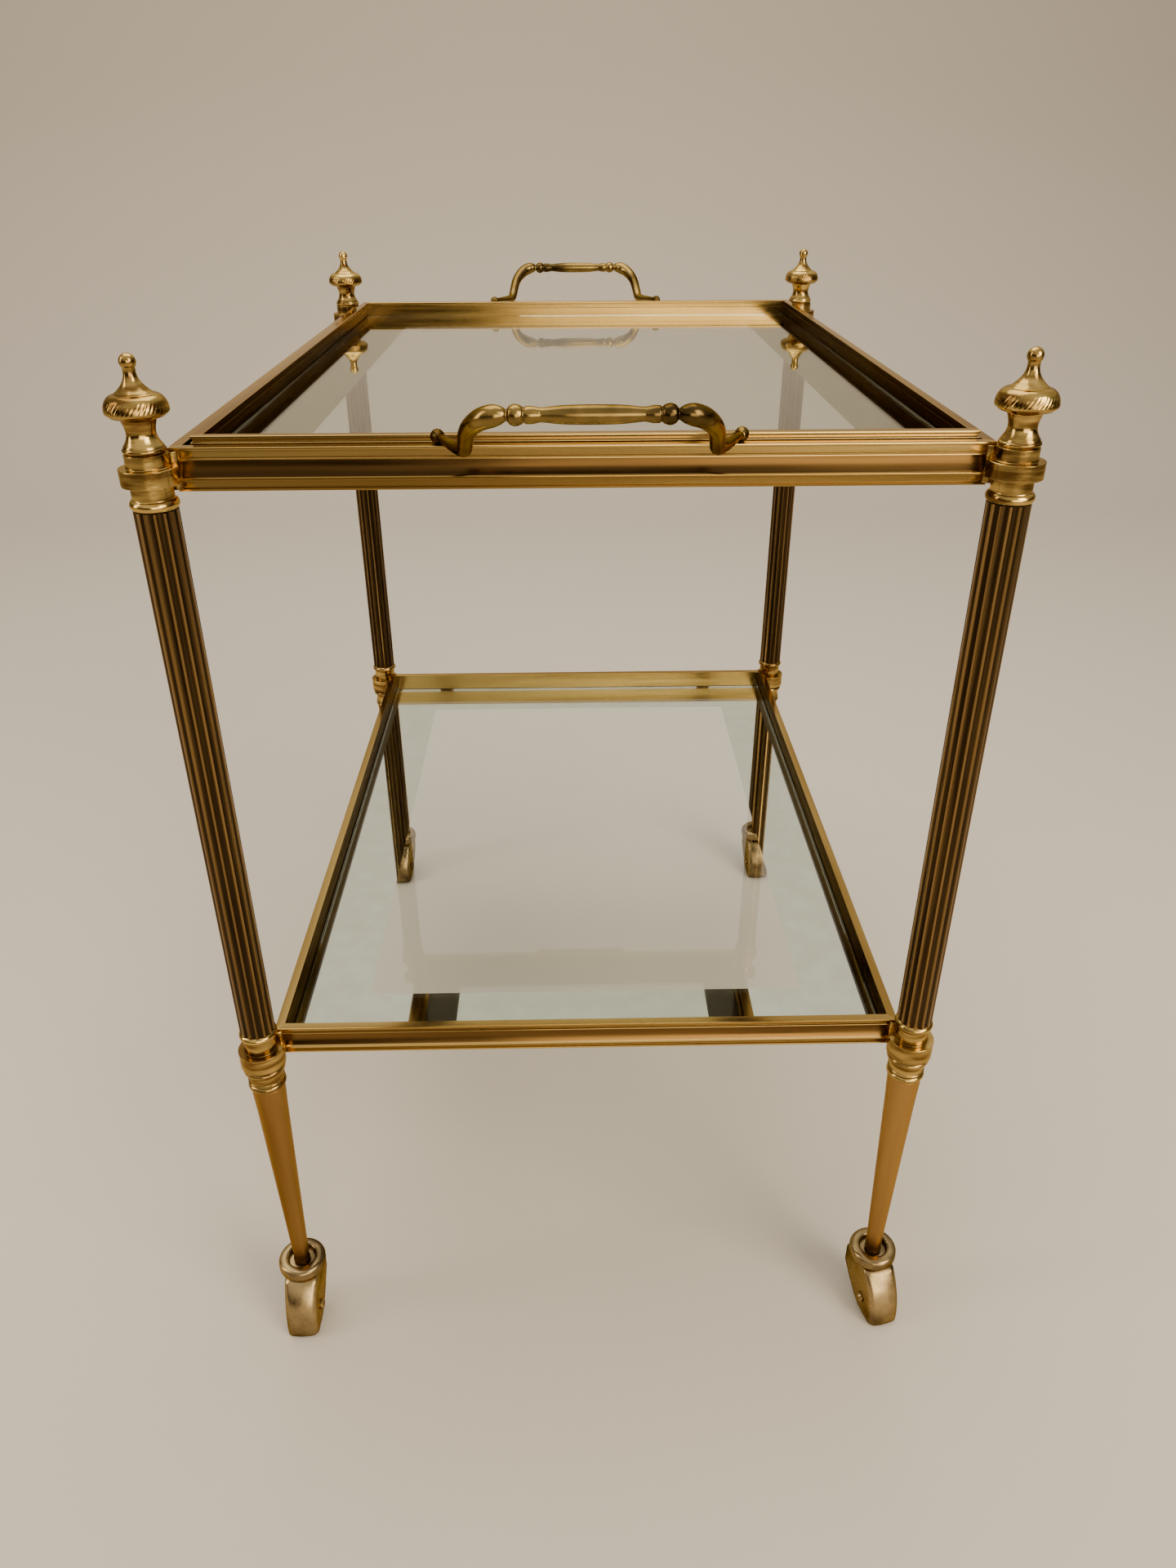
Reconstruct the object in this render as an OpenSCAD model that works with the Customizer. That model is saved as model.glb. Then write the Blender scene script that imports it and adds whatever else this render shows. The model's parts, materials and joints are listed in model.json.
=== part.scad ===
// Dessert trolley: four turned brass posts carry two mitred rail frames. A glass shelf lies
// in the lower frame and a glazed tray with two pull handles lifts out of the upper one.
// Each post stands on a hooded swivel caster.
// Millimetres, Z up. The origin is on the floor, below the middle of the frame, and the
// trolley's front, one of its two short ends, faces -Y.

/* [Overall] */
// Distance between the post axes across the trolley
post_span_x = 400; // [300:1:520]
// Distance between the post axes along the trolley
post_span_y = 551.8; // [420:0.1:720]
// Length of each fluted column, collar to collar
column_length = 317.8; // [200:0.1:450]
// Length of each tapered leg, shoulder to tip
leg_length = 165.1; // [100:0.1:260]

/* [Posts] */
// Diameter of the fluted columns over their ridges
column_d = 20.8; // [19:0.1:22.4]
// Number of flutes round a column
flute_count = 14; // [10:1:20]
// Diameter of the tapered leg at its shoulder
leg_top_d = 20.6; // [17:0.1:22]
// Diameter of the tapered leg at its tip
leg_tip_d = 10.3; // [10.2:0.1:14]
// Diameter of the plain drums of the collars
drum_d = 19.4; // [18:0.1:20]
// Diameter of the wide band round each collar
band_d = 26.6; // [25:0.1:30]
// Diameter of the beads where the collars meet the columns
bead_d = 22.8; // [22.6:0.1:25]
// Diameter of the threaded rod that clamps a post together
tie_rod_d = 6; // [4:0.1:8]

/* [Rails] */
// Height of the rail moulding
rail_height = 20.6; // [18:0.1:24]
// Depth of the rail moulding's top flange, lip to inner wall
rail_flange = 5.5; // [5:0.1:8]
// Reach of the ledge at the rail's foot, from the lip
rail_ledge = 12; // [11:0.1:16]
// How far the rails' side faces stand inside the post axes
rail_inset_x = 7.3; // [7.2:0.1:9]
// How far the rails' end faces stand inside the post axes
rail_inset_y = 7.5; // [7.2:0.1:9]
// Height of a rail's foot above the base of the upper collar
upper_rail_rise = 5.5; // [5:0.1:8]
// Height of a rail's foot above the base of the lower collar
lower_rail_rise = 16.2; // [15.5:0.1:18]

/* [Tray and shelf] */
// Gap between the tray and the rails, all round
tray_gap = 2; // [1.6:0.1:3]
// How far right of the middle the loose tray lies in its frame
tray_shift = 1.5; // [-1.5:0.1:1.5]
// Height of the tray's rim
tray_height = 22.7; // [21.5:0.1:28]
// Thickness of both glass panes
glass_thickness = 4; // [3:0.1:6]
// Gap between a pane's edge and its frame, all round
glass_gap = 0.5; // [0.2:0.1:1]

/* [Handles] */
// Distance between the two ball ends of a handle
handle_span = 141.4; // [120:0.1:180]
// How far right of the tray's middle the front handle is fixed
front_handle_shift = 1.2; // [-5:0.1:5]
// How far right of the tray's middle the back handle is fixed
back_handle_shift = -0.6; // [-5:0.1:5]

/* [Casters] */
// Diameter of the wheels
wheel_d = 27; // [24:0.1:32]
// Width of the wheels' treads
wheel_width = 16; // [14:0.1:17]
// Distance from the swivel axis to the axle
caster_trail = 12; // [10:0.1:16]
// Gap between the tread and each of the hood's cheeks, at the open back
cheek_gap = 3; // [1.7:0.1:4.7]
// Gap between the tread and each of the hood's cheeks, at the curved front
front_cheek_gap = 1.1; // [1.1:0.1:2.7]
// Thickness of the hood's plate
hood_plate = 1.3; // [1:0.1:1.5]
// Radius of the hood's curved front
hood_radius = 50; // [44:0.1:70]
// Outer diameter of the fat cup ring above the hood
cup_d = 32; // [30:0.1:36]
// Diameter of the axle
axle_d = 4; // [3:0.1:5]
// Diameter of the kingpin that the hood swivels on
kingpin_d = 6.4; // [5:0.1:7]
// Turn of the front left, front right, back left and back right hoods
caster_turn = [1, 14, -2, 2];

/* [Hidden] */

// Corners in the order of caster_turn, as signs of X and Y.
FL = 0;
FR = 1;
BL = 2;
BR = 3;
corner_sign = [[-1, -1], [1, -1], [-1, 1], [1, 1]];

// Finish colours
polished = "#c69a4e";
aged = "#8f6b35";
antique = "#8a7548";
steel = "#8d8f90";
pane = [0.80, 0.88, 0.84, 0.45];

// Clearances
run_gap = 0.05;      // between a turning shaft and its bore, on the radius
seat_gap = 0.03;     // between a fixed pin and its hole, on the radius
rod_gap = 0.2;       // between a tie rod and its bores, on the radius
swivel_gap = 0.3;    // between the kingpin's shoulder and the cup

// The hood is wider at its open back than at its curved front
hood_width = wheel_width + 2 * (cheek_gap + hood_plate);
hood_front_width = wheel_width + 2 * (front_cheek_gap + hood_plate);

// Caster levels
axle_z = wheel_d / 2;
wheel_clear = 1;      // between the wheel and the hood's curved front
head_room = 11.9;    // between the wheel and the hood's flat top
hood_top_z = wheel_d + head_room + hood_plate;
shoulder_h = 0.6;    // thickness of the kingpin's shoulder
cup_z = hood_top_z + shoulder_h + swivel_gap;
cup_web = 3;         // thickness of the cup under the leg
cup_ring_h = 9.2;    // height of the cup's ring
cup_round = 3.2;     // radius of the ring's outer edges
cup_recess_r = 8.8;  // radius of the recess inside the ring
leg_tip_z = cup_z + 6.9;

// Levels of a post, from the leg's tip up
leg_shoulder_z = leg_tip_z + leg_length;
lower_collar_h = 44.6;
column_z = leg_shoulder_z + lower_collar_h;
upper_collar_z = column_z + column_length;
upper_collar_h = 25.7;
finial_z = upper_collar_z + upper_collar_h;

// Rail frames: half sizes over the lip, and levels
lip_x = post_span_x / 2 - rail_inset_x;
lip_y = post_span_y / 2 - rail_inset_y;
lower_rail_z = leg_shoulder_z + lower_rail_rise;
upper_rail_z = upper_collar_z + upper_rail_rise;
ledge_t = 1.5;
bead_inset = 0.5;    // the small bead of the moulding stands this far behind the lip
lip_t = 1.6;         // thickness of the lip

// Tray: half sizes over the rim, and levels
rim_x = lip_x - rail_flange - tray_gap;
rim_y = lip_y - rail_flange - tray_gap;
tray_z = upper_rail_z + ledge_t;
tray_top_z = tray_z + tray_height;
rim_wall = 3;
rim_ledge = 9.5;
rim_pane_drop = 11;  // from the tray's top down to its glass
rim_ledge_t = 1.6;

// ---------------------------------------------------------------- helpers

// Moves to the foot of a post, with +X and +Y pointing out of the trolley.
module at_post(corner) {
    translate([corner_sign[corner][0] * post_span_x / 2, corner_sign[corner][1] * post_span_y / 2, 0])
        mirror([corner_sign[corner][0] < 0 ? 1 : 0, 0, 0])
            mirror([0, corner_sign[corner][1] < 0 ? 1 : 0, 0])
                children();
}

// Moves to a caster: swivel axis at the origin, hood and wheel towards -Y.
module at_caster(corner) {
    translate([corner_sign[corner][0] * post_span_x / 2, corner_sign[corner][1] * post_span_y / 2, 0])
        rotate([0, 0, caster_turn[corner]])
            children();
}

// Half outlines for turning: a plain drum, a round bead and a disc with a round edge.
module drum(z0, z1, r) {
    translate([0, z0])
        square([r, z1 - z0]);
}

module bead(z0, z1, r) {
    half = (z1 - z0) / 2;
    drum(z0, z1, r - half);
    translate([r - half, z0 + half])
        circle(r = half, $fn = 40);
}

// Turns the half outline round the Z axis, with a bore right through.
module turned(bore_r, height) {
    difference() {
        rotate_extrude($fn = 96)
            intersection() {
                children();
                translate([0, -1])
                    square([50, height + 2]);
            }
        if (bore_r > 0)
            translate([0, 0, -1])
                cylinder(r = bore_r, h = height + 2, $fn = 48);
    }
}

// Points on an arc in the half outline, n steps from angle a0 to a1.
function arc(cx, cz, r, a0, a1, n) =
    [for (i = [0:n]) let (a = a0 + (a1 - a0) * i / n) [cx + r * cos(a), cz + r * sin(a)]];

// ---------------------------------------------------------------- posts

// The rails' corner as the collars are cut for it: the mouldings' faces and all behind them.
module rail_seat(rail_z) {
    reach = 20;
    behind = concat([[reach, 0], [reach, rail_height]], rail_face());
    translate([-rail_inset_x, -rail_inset_y, rail_z])
        intersection() {
            translate([0, reach, 0])
                rotate([90, 0, 0])
                    linear_extrude(2 * reach)
                        mirror([1, 0])
                            polygon(behind);
            translate([-reach, 0, 0])
                rotate([90, 0, 90])
                    linear_extrude(2 * reach)
                        mirror([1, 0])
                            polygon(behind);
        }
}

// Finial outline: foot ring, waisted neck, broad disc with a domed shoulder, concave cone, ball.
foot_r = 9.8;
neck_r = 6.6;
disc_r = 14.2;
cone_r = 8.5;
cone_tip_r = 2.8;
finial_h = 43.1;
ball_r = 3.7;
finial_bore_h = 15;  // depth of the tie rod's blind hole
function finial_outline() = concat(
    [[0, 0], [9.1, 0]],
    arc(foot_r - 1.2, 1.65, 1.2, -60, 60, 6),
    [[9.1, 3.0]],
    [for (i = [0:6]) let (t = i / 6) [neck_r + 2.2 * (1 - sin(90 * t)), 3.4 + 5.6 * t]],
    [for (i = [1:6]) let (t = i / 6) [neck_r + 1.5 * (1 - cos(90 * t)), 9 + 6.1 * t]],
    [[12.1, 16.3]],
    arc(disc_r - 1.7, 18.9, 1.7, -75, 0, 6),
    [for (i = [1:8]) let (t = i / 8) [9 + (disc_r - 9) * cos(90 * t), 18.9 + 7 * sin(90 * t)]],
    [[cone_r, 25.9], [cone_r, 26.3]],
    [for (i = [1:8]) let (t = i / 8) [cone_tip_r + (cone_r - cone_tip_r) * pow(1 - t, 2), 26.3 + 8.7 * t]],
    arc(0, finial_h - ball_r, ball_r, -41, 90, 12)
);

module finial(corner) {
    color(polished)
        at_post(corner)
            translate([0, 0, finial_z])
                difference() {
                    rotate_extrude($fn = 96)
                        polygon(finial_outline());
                    translate([0, 0, -1])
                        cylinder(r = tie_rod_d / 2 + rod_gap, h = finial_bore_h + 1, $fn = 48);
                }
}

module upper_collar(corner) {
    color(polished)
        at_post(corner)
            difference() {
                translate([0, 0, upper_collar_z])
                    turned(tie_rod_d / 2 + rod_gap, upper_collar_h) {
                        bead(0, 5.4, bead_d / 2);
                        drum(0, 11.6, drum_d / 2);
                        drum(11.6, 19.5, band_d / 2);
                        drum(19.5, upper_collar_h, drum_d / 2);
                    }
                rail_seat(upper_rail_z);
            }
}

module column(corner) {
    flute_r = 2.1;
    flute_depth = 1.1;
    wall = 3;
    color(aged)
        at_post(corner)
            translate([0, 0, column_z])
                linear_extrude(column_length)
                    difference() {
                        circle(d = column_d, $fn = 120);
                        circle(d = column_d - 2 * wall, $fn = 96);
                        for (i = [0:flute_count - 1])
                            rotate(360 * (i + 0.5) / flute_count)
                                translate([column_d / 2 - flute_depth + flute_r, 0])
                                    circle(r = flute_r, $fn = 32);
                    }
}

module lower_collar(corner) {
    leg_r = leg_top_d / 2;
    color(polished)
        at_post(corner)
            difference() {
                translate([0, 0, leg_shoulder_z])
                    turned(tie_rod_d / 2 + rod_gap, lower_collar_h) {
                        bead(0, 4.6, leg_r + 1.3);
                        drum(0, 12.5, leg_r + 0.2);
                        bead(5.6, 6.6, leg_r + 0.9);
                        bead(12.5, 17.1, leg_r + 2.5);
                        drum(12.5, 18.4, leg_r + 1.4);
                        drum(18.4, 30, band_d / 2 + 0.4);
                        drum(30, 39.3, drum_d / 2);
                        bead(39.3, lower_collar_h, bead_d / 2);
                    }
                rail_seat(lower_rail_z);
            }
}

// Full at the shoulder, then a straight taper to a small foot ring. The spigot below the
// tip stands in the caster's cup, with the kingpin's bore up its middle.
kingpin_bore_z = leg_tip_z + 30;
spigot_r = leg_tip_d / 2 - 0.8;
rod_foot_z = leg_shoulder_z - 22;
module leg(corner) {
    spigot_z = cup_z + cup_web;
    tip_r = leg_tip_d / 2;
    color(polished)
        at_post(corner)
            difference() {
                rotate_extrude($fn = 96)
                    polygon([
                        [0, spigot_z], [spigot_r, spigot_z], [spigot_r, leg_tip_z],
                        [tip_r + 0.3, leg_tip_z], [tip_r + 0.5, leg_tip_z + 0.6],
                        [tip_r + 0.3, leg_tip_z + 1.4], [tip_r, leg_tip_z + 2],
                        [leg_top_d / 2 - 0.7, leg_shoulder_z - 18],
                        [leg_top_d / 2 - 0.1, leg_shoulder_z - 5],
                        [leg_top_d / 2, leg_shoulder_z], [0, leg_shoulder_z],
                    ]);
                translate([0, 0, spigot_z - 1])
                    cylinder(r = kingpin_d / 2 + run_gap, h = kingpin_bore_z - spigot_z + 1, $fn = 48);
                translate([0, 0, rod_foot_z])
                    cylinder(r = tie_rod_d / 2 + rod_gap, h = leg_shoulder_z - rod_foot_z + 1, $fn = 48);
            }
}

// One rod inside each post, from the leg's blind hole to the finial's.
module tie_rods() {
    color(steel)
        for (corner = [FL:BR])
            at_post(corner)
                translate([0, 0, rod_foot_z])
                    cylinder(d = tie_rod_d, h = finial_z + finial_bore_h - rod_foot_z, $fn = 48);
}

// ---------------------------------------------------------------- rails

// The face of the rail moulding from top to foot: x is the depth behind the lip, y the height.
function rail_face() = let (h = rail_height, b = bead_inset) concat(
    [[0.5, h], [0.1, h - 0.2], [0, h - 0.6], [0, h - 1.2], [0.4, h - lip_t]],
    [[3.5, h - lip_t], [3.5, h - 5.4], [2.3, h - 5.5], [2.3, h - 5.9], [3.1, h - 6.2]],
    [for (i = [0:5]) let (t = i / 5) [b + 0.5 + 2 * cos(90 * t), h - 6.7 - (h - 13.3) * t]],
    [[b, 6.2], [b, 4.8], [3.5, 4.8], [3.5, 1], [1.8, 1], [1.8, 0]]
);

// Its whole section, with the ledge at the foot and the wall behind the face.
function rail_section() = concat(
    rail_face(),
    [[rail_ledge, 0], [rail_ledge, ledge_t], [rail_flange, ledge_t], [rail_flange, rail_height]]
);

// A bar of the given section, length over its mitred corners, with its lip along the X axis,
// its foot at z = 0 and the inside of the frame towards +Y. The depth bounds the mitre.
module mitred_bar(section, length, depth) {
    height = 40;
    intersection() {
        translate([-length / 2, 0, 0])
            rotate([90, 0, 90])
                linear_extrude(length)
                    polygon(section);
        translate([0, 0, -1])
            linear_extrude(height)
                polygon([
                    [-length / 2, 0], [length / 2, 0],
                    [length / 2 - depth, depth], [-length / 2 + depth, depth],
                ]);
    }
}

// Places one side of a four-sided frame of the given half sizes: 0 front, 1 right, 2 back, 3 left.
module frame_side(side, half_x, half_y) {
    rotate([0, 0, 90 * side])
        translate([0, side % 2 == 0 ? -half_y : -half_x, 0])
            children();
}

module rail(side, rail_z) {
    length = side % 2 == 0 ? 2 * lip_x : 2 * lip_y;
    color(polished)
        translate([0, 0, rail_z])
            frame_side(side, lip_x, lip_y)
                mitred_bar(rail_section(), length, rail_ledge);
}

module shelf_glass() {
    inset = rail_flange + glass_gap;
    color(pane)
        translate([inset - lip_x, inset - lip_y, lower_rail_z + ledge_t])
            cube([2 * (lip_x - inset), 2 * (lip_y - inset), glass_thickness]);
}

// ---------------------------------------------------------------- tray

// Section of the tray's rim: x is the depth behind its outer face, y the height.
function rim_section() = let (h = tray_height, pane_z = h - rim_pane_drop) [
    [0.5, 0], [rim_wall, 0], [rim_wall, pane_z - glass_thickness - rim_ledge_t],
    [rim_ledge, pane_z - glass_thickness - rim_ledge_t], [rim_ledge, pane_z - glass_thickness],
    [rim_wall, pane_z - glass_thickness], [rim_wall, h - 5.2], [2.6, h - 5.2], [2.6, h - 1.5],
    [4.8, h - 1.5], [4.8, h - 0.3], [4.5, h], [0.4, h], [0, h - 0.4], [0, h - 1.2],
    [0.3, h - 1.5], [0.9, h - 1.6], [0.9, h - 2.8], [0.2, h - 3], [0, h - 3.3], [0, h - 3.6],
    [0.5, h - 3.9],
];

module tray_rim(side) {
    length = side % 2 == 0 ? 2 * rim_x : 2 * rim_y;
    color(polished)
        translate([tray_shift, 0, tray_z])
            frame_side(side, rim_x, rim_y)
                mitred_bar(rim_section(), length, rim_ledge);
}

module tray_glass() {
    inset = rim_wall + glass_gap;
    color(pane)
        translate([
            tray_shift + inset - rim_x, inset - rim_y, tray_top_z - rim_pane_drop - glass_thickness,
        ])
            cube([2 * (rim_x - inset), 2 * (rim_y - inset), glass_thickness]);
}

// ---------------------------------------------------------------- handles

// The handle's upper part lies in a plane that leans outwards by this angle from upright.
handle_lean = 57.6;
elbow_out = 28.3;
elbow_up = -1.2;
end_x = -handle_span / 2;
bar_v = 41.6;        // how far up the slope the grip lies

// A point of that plane: along X, up the slope from the elbow, and the bar's radius there.
function slope(x, v, r) = [x, elbow_out + v * sin(handle_lean), elbow_up + v * cos(handle_lean), r];

// Left half of the bar as [x, out from the rim, up from the tray's top, radius]: the ball end
// against the rim, the arm, the elbow, the leg, the shoulder, the knuckle and half the grip.
half_bar = [
    [end_x, 0, 0, 1.8], [end_x, 1, 0, 1.8], [end_x, 1.7, 0, 2.6], [end_x, 4.1, 0, 3.4],
    [end_x + 0.8, 6.4, 0, 2.5], [end_x + 1.4, 7.4, 0, 1.9],
    [end_x + 3.8, 11.6, -0.2, 2.0], [end_x + 7.2, 17.6, -0.7, 2.5], [end_x + 11, 23.8, -1, 3.0],
    slope(end_x + 14.2, 2, 3.4), slope(end_x + 15.3, 8, 3.5), slope(end_x + 16.2, 15, 3.6),
    slope(end_x + 17.6, 23.5, 3.8), slope(end_x + 20.6, 31.3, 4.2), slope(end_x + 24.8, 37.6, 4.6),
    slope(end_x + 29.4, 40.9, 4.6), slope(end_x + 32.9, bar_v, 3.7), slope(end_x + 34.9, bar_v, 2.5),
    slope(end_x + 35.6, bar_v, 2.5), slope(end_x + 36.6, bar_v, 3.7), slope(end_x + 38.9, bar_v, 4.4),
    slope(end_x + 41.2, bar_v, 3.8), slope(end_x + 42.3, bar_v, 3.0), slope(end_x + 43.2, bar_v, 3.5),
    slope(end_x + 45.6, bar_v, 3.6), slope(end_x + 48.4, bar_v, 3.1), slope(end_x + 50.4, bar_v, 3.0),
    slope(end_x * 0.14, bar_v, 3.9),
];
last = len(half_bar) - 1;
bar = concat(half_bar, [for (i = [0:last]) [-half_bar[last - i][0], half_bar[last - i][1],
                                             half_bar[last - i][2], half_bar[last - i][3]]]);

// Smooth curve through the points: n steps from each point to the next.
function between(a, b, c, d, t) = 0.5 * (2 * b + (c - a) * t + (2 * a - 5 * b + 4 * c - d) * t * t
                                         + (3 * b - a - 3 * c + d) * t * t * t);
function smooth(p, n) = concat(
    [for (i = [0:len(p) - 2], k = [0:n - 1])
        between(p[max(i - 1, 0)], p[i], p[i + 1], p[min(i + 2, len(p) - 1)], k / n)],
    [p[len(p) - 1]]
);
function xyz(p) = [p[0], p[1], p[2]];

// Round section number i along the path, square to it. The first and last lie on the rim.
function section_dir(path, i) = let (m = len(path) - 1)
    i == 0 ? [0, 1, 0] : i == m ? [0, -1, 0] : let (d = xyz(path[i + 1] - path[i - 1])) d / norm(d);
function ring(path, i, sides) = let (
    d = section_dir(path, i),
    side_dir = cross(d, [0, -cos(handle_lean), sin(handle_lean)]),
    u = side_dir / norm(side_dir),
    w = cross(u, d)
) [for (k = [0:sides - 1]) let (a = 360 * k / sides)
    xyz(path[i]) + path[i][3] * (cos(a) * u + sin(a) * w)];

// Solid skin over the rings, with flat ends.
module swept(path, sides) {
    m = len(path);
    points = [for (i = [0:m - 1]) each ring(path, i, sides)];
    first_end = [for (k = [0:sides - 1]) k];
    last_end = [for (k = [0:sides - 1]) (m - 1) * sides + sides - 1 - k];
    skin = [for (i = [0:m - 2], k = [0:sides - 1]) let (q = (k + 1) % sides) each [
        [i * sides + k, (i + 1) * sides + k, i * sides + q],
        [i * sides + q, (i + 1) * sides + k, (i + 1) * sides + q],
    ]];
    polyhedron(points, concat([first_end, last_end], skin));
}

// A handle on the tray's end: side -1 is the front, side 1 the back.
module handle(end_side, shift) {
    color(antique)
        translate([tray_shift + shift, end_side * rim_y, tray_top_z])
            mirror([0, end_side < 0 ? 1 : 0, 0])
                swept(smooth(bar, 2), 14);
}

// ---------------------------------------------------------------- casters

// Fat ring with rounded edges, a web under the leg's spigot and a small collar round it.
module caster_cup(corner) {
    ring_top = cup_z + cup_ring_h;
    edge_x = cup_d / 2 - cup_round;
    collar_r = spigot_r + 2;
    color(antique)
        at_post(corner)
            rotate_extrude($fn = 96)
                difference() {
                    union() {
                        translate([edge_x, cup_z + cup_round])
                            circle(r = cup_round, $fn = 48);
                        translate([edge_x, ring_top - cup_round])
                            circle(r = cup_round, $fn = 48);
                        drum(cup_z + cup_round, ring_top - cup_round, cup_d / 2);
                        drum(cup_z, ring_top, edge_x);
                    }
                    translate([collar_r, cup_z + cup_web])
                        square([cup_recess_r - collar_r, 20]);
                    drum(cup_z + cup_web + 2.4, ring_top + 1, cup_recess_r);
                    drum(cup_z + cup_web, ring_top + 1, spigot_r + seat_gap);
                    drum(cup_z - 1, ring_top + 1, kingpin_d / 2 + run_gap);
                }
}

// The hood's curved front is turned about an axis across the caster, so it is crowned from
// side to side at every height. The axis lies back far enough to clear the wheel.
hood_arc_z = 4;
crown = 1.4;
hood_arc_y = sqrt(pow(hood_radius - hood_plate - wheel_clear - wheel_d / 2, 2)
                  - pow(axle_z - hood_arc_z, 2)) - caster_trail;
hood_front = hood_radius - hood_arc_y;
hood_back = 12.5;

// Half width of the hood at a place along it: the cheeks splay towards the open back.
function hood_half(y) = (hood_front_width + (hood_width - hood_front_width) * (y + hood_front)
                         / (hood_front + hood_back)) / 2;

// The hood's block under its flat top. The inset makes the same block for the hollow.
module hood_block(inset, below) {
    crown_r = (hood_front_width * hood_front_width / 4 + crown * crown) / (2 * crown);
    front = hood_half(-hood_front) - inset;
    back = hood_half(hood_back + below) - inset;
    intersection() {
        translate([0, hood_arc_y, hood_arc_z])
            rotate([0, 90, 0])
                rotate_extrude($fn = 240)
                    intersection() {
                        translate([hood_radius - crown_r, 0])
                            circle(r = crown_r - inset, $fn = 240);
                        translate([0, -hood_width])
                            square([2 * hood_radius, 2 * hood_width]);
                    }
        translate([0, 0, -below])
            linear_extrude(hood_top_z - inset + below)
                polygon([
                    [-front, -hood_front], [front, -hood_front],
                    [back, hood_back + below], [-back, hood_back + below],
                ]);
    }
}

// Everything below the hood's sloping hem, in side view.
module below_hem() {
    hem_back_z = hood_top_z - 15.7;
    floor_gap = 2.2;
    rotate([90, 0, -90])
        translate([0, 0, -hood_width])
            linear_extrude(2 * hood_width)
                polygon([
                    [-60, -60], [-60, hem_back_z + 4], [-hood_back, hem_back_z],
                    [-3.5, hem_back_z - 10.6], [caster_trail - 8, axle_z - 6.4],
                    [caster_trail - 2, axle_z - 10.2], [caster_trail + 5, floor_gap],
                    [80, floor_gap], [80, -60],
                ]);
}

module caster_hood(corner) {
    color(antique)
        at_caster(corner)
            difference() {
                hood_block(0, 0);
                hood_block(hood_plate, 5);
                below_hem();
                translate([0, 0, hood_top_z - 5])
                    cylinder(r = kingpin_d / 2 + seat_gap, h = 10, $fn = 48);
                translate([-hood_width, -caster_trail, axle_z])
                    rotate([0, 90, 0])
                        cylinder(r = axle_d / 2 + seat_gap, h = 2 * hood_width, $fn = 48);
            }
}

// Rivet head under the hood's top, a thin shoulder above it, and the pin up into the leg.
module caster_kingpin(corner) {
    head_h = 1.6;
    color(steel)
        at_caster(corner)
            rotate_extrude($fn = 64)
                union() {
                    drum(hood_top_z - hood_plate - head_h, hood_top_z - hood_plate, 5.5);
                    drum(hood_top_z - hood_plate - head_h, kingpin_bore_z - 2, kingpin_d / 2);
                    drum(hood_top_z, hood_top_z + shoulder_h, 7);
                }
}

// Axle through both cheeks, with a domed head on each end.
module caster_axle(corner) {
    head_r = 3.6;
    head_h = 2;
    half = hood_half(head_r - caster_trail);
    color(steel)
        at_caster(corner)
            translate([0, -caster_trail, axle_z])
                rotate([0, 90, 0])
                    rotate_extrude($fn = 64)
                        polygon([
                            [0, -half - head_h], [head_r - 1, -half - head_h], [head_r, -half - 1],
                            [head_r, -half], [axle_d / 2, -half], [axle_d / 2, half],
                            [head_r, half], [head_r, half + 1], [head_r - 1, half + head_h],
                            [0, half + head_h],
                        ]);
}

// Turned wheel: rounded tread, dished faces and a hub that runs between the cheeks.
module caster_wheel(corner) {
    tread = wheel_width / 2;
    hub = hood_half(-caster_trail - 5) - hood_plate - 0.3;
    wheel_r = wheel_d / 2;
    color(aged)
        at_caster(corner)
            translate([0, -caster_trail, axle_z])
                rotate([0, 90, 0])
                    rotate_extrude($fn = 96)
                        polygon([
                            [axle_d / 2 + run_gap, -hub], [5, -hub], [5, -tread + 1.5],
                            [wheel_r - 3.5, -tread + 1.5], [wheel_r - 2.5, -tread],
                            [wheel_r - 1.2, -tread], [wheel_r, -tread + 1.6],
                            [wheel_r, tread - 1.6], [wheel_r - 1.2, tread],
                            [wheel_r - 2.5, tread], [wheel_r - 3.5, tread - 1.5],
                            [5, tread - 1.5], [5, hub], [axle_d / 2 + run_gap, hub],
                        ]);
}

// ---------------------------------------------------------------- assembly

finial(FL);  // finial_fl
finial(FR);  // finial_fr
finial(BL);  // finial_bl
finial(BR);  // finial_br
upper_collar(FL);  // upper_collar_fl
upper_collar(FR);  // upper_collar_fr
upper_collar(BL);  // upper_collar_bl
upper_collar(BR);  // upper_collar_br
column(FL);  // column_fl
column(FR);  // column_fr
column(BL);  // column_bl
column(BR);  // column_br
lower_collar(FL);  // lower_collar_fl
lower_collar(FR);  // lower_collar_fr
lower_collar(BL);  // lower_collar_bl
lower_collar(BR);  // lower_collar_br
leg(FL);  // leg_fl
leg(FR);  // leg_fr
leg(BL);  // leg_bl
leg(BR);  // leg_br
tie_rods();
rail(0, upper_rail_z);  // upper_rail_front
rail(1, upper_rail_z);  // upper_rail_right
rail(2, upper_rail_z);  // upper_rail_back
rail(3, upper_rail_z);  // upper_rail_left
rail(0, lower_rail_z);  // lower_rail_front
rail(1, lower_rail_z);  // lower_rail_right
rail(2, lower_rail_z);  // lower_rail_back
rail(3, lower_rail_z);  // lower_rail_left
shelf_glass();
tray_rim(0);  // tray_rim_front
tray_rim(1);  // tray_rim_right
tray_rim(2);  // tray_rim_back
tray_rim(3);  // tray_rim_left
tray_glass();
handle(-1, front_handle_shift);  // handle_front
handle(1, back_handle_shift);  // handle_back
caster_cup(FL);  // caster_cup_fl
caster_cup(FR);  // caster_cup_fr
caster_cup(BL);  // caster_cup_bl
caster_cup(BR);  // caster_cup_br
caster_hood(FL);  // caster_hood_fl
caster_hood(FR);  // caster_hood_fr
caster_hood(BL);  // caster_hood_bl
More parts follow.
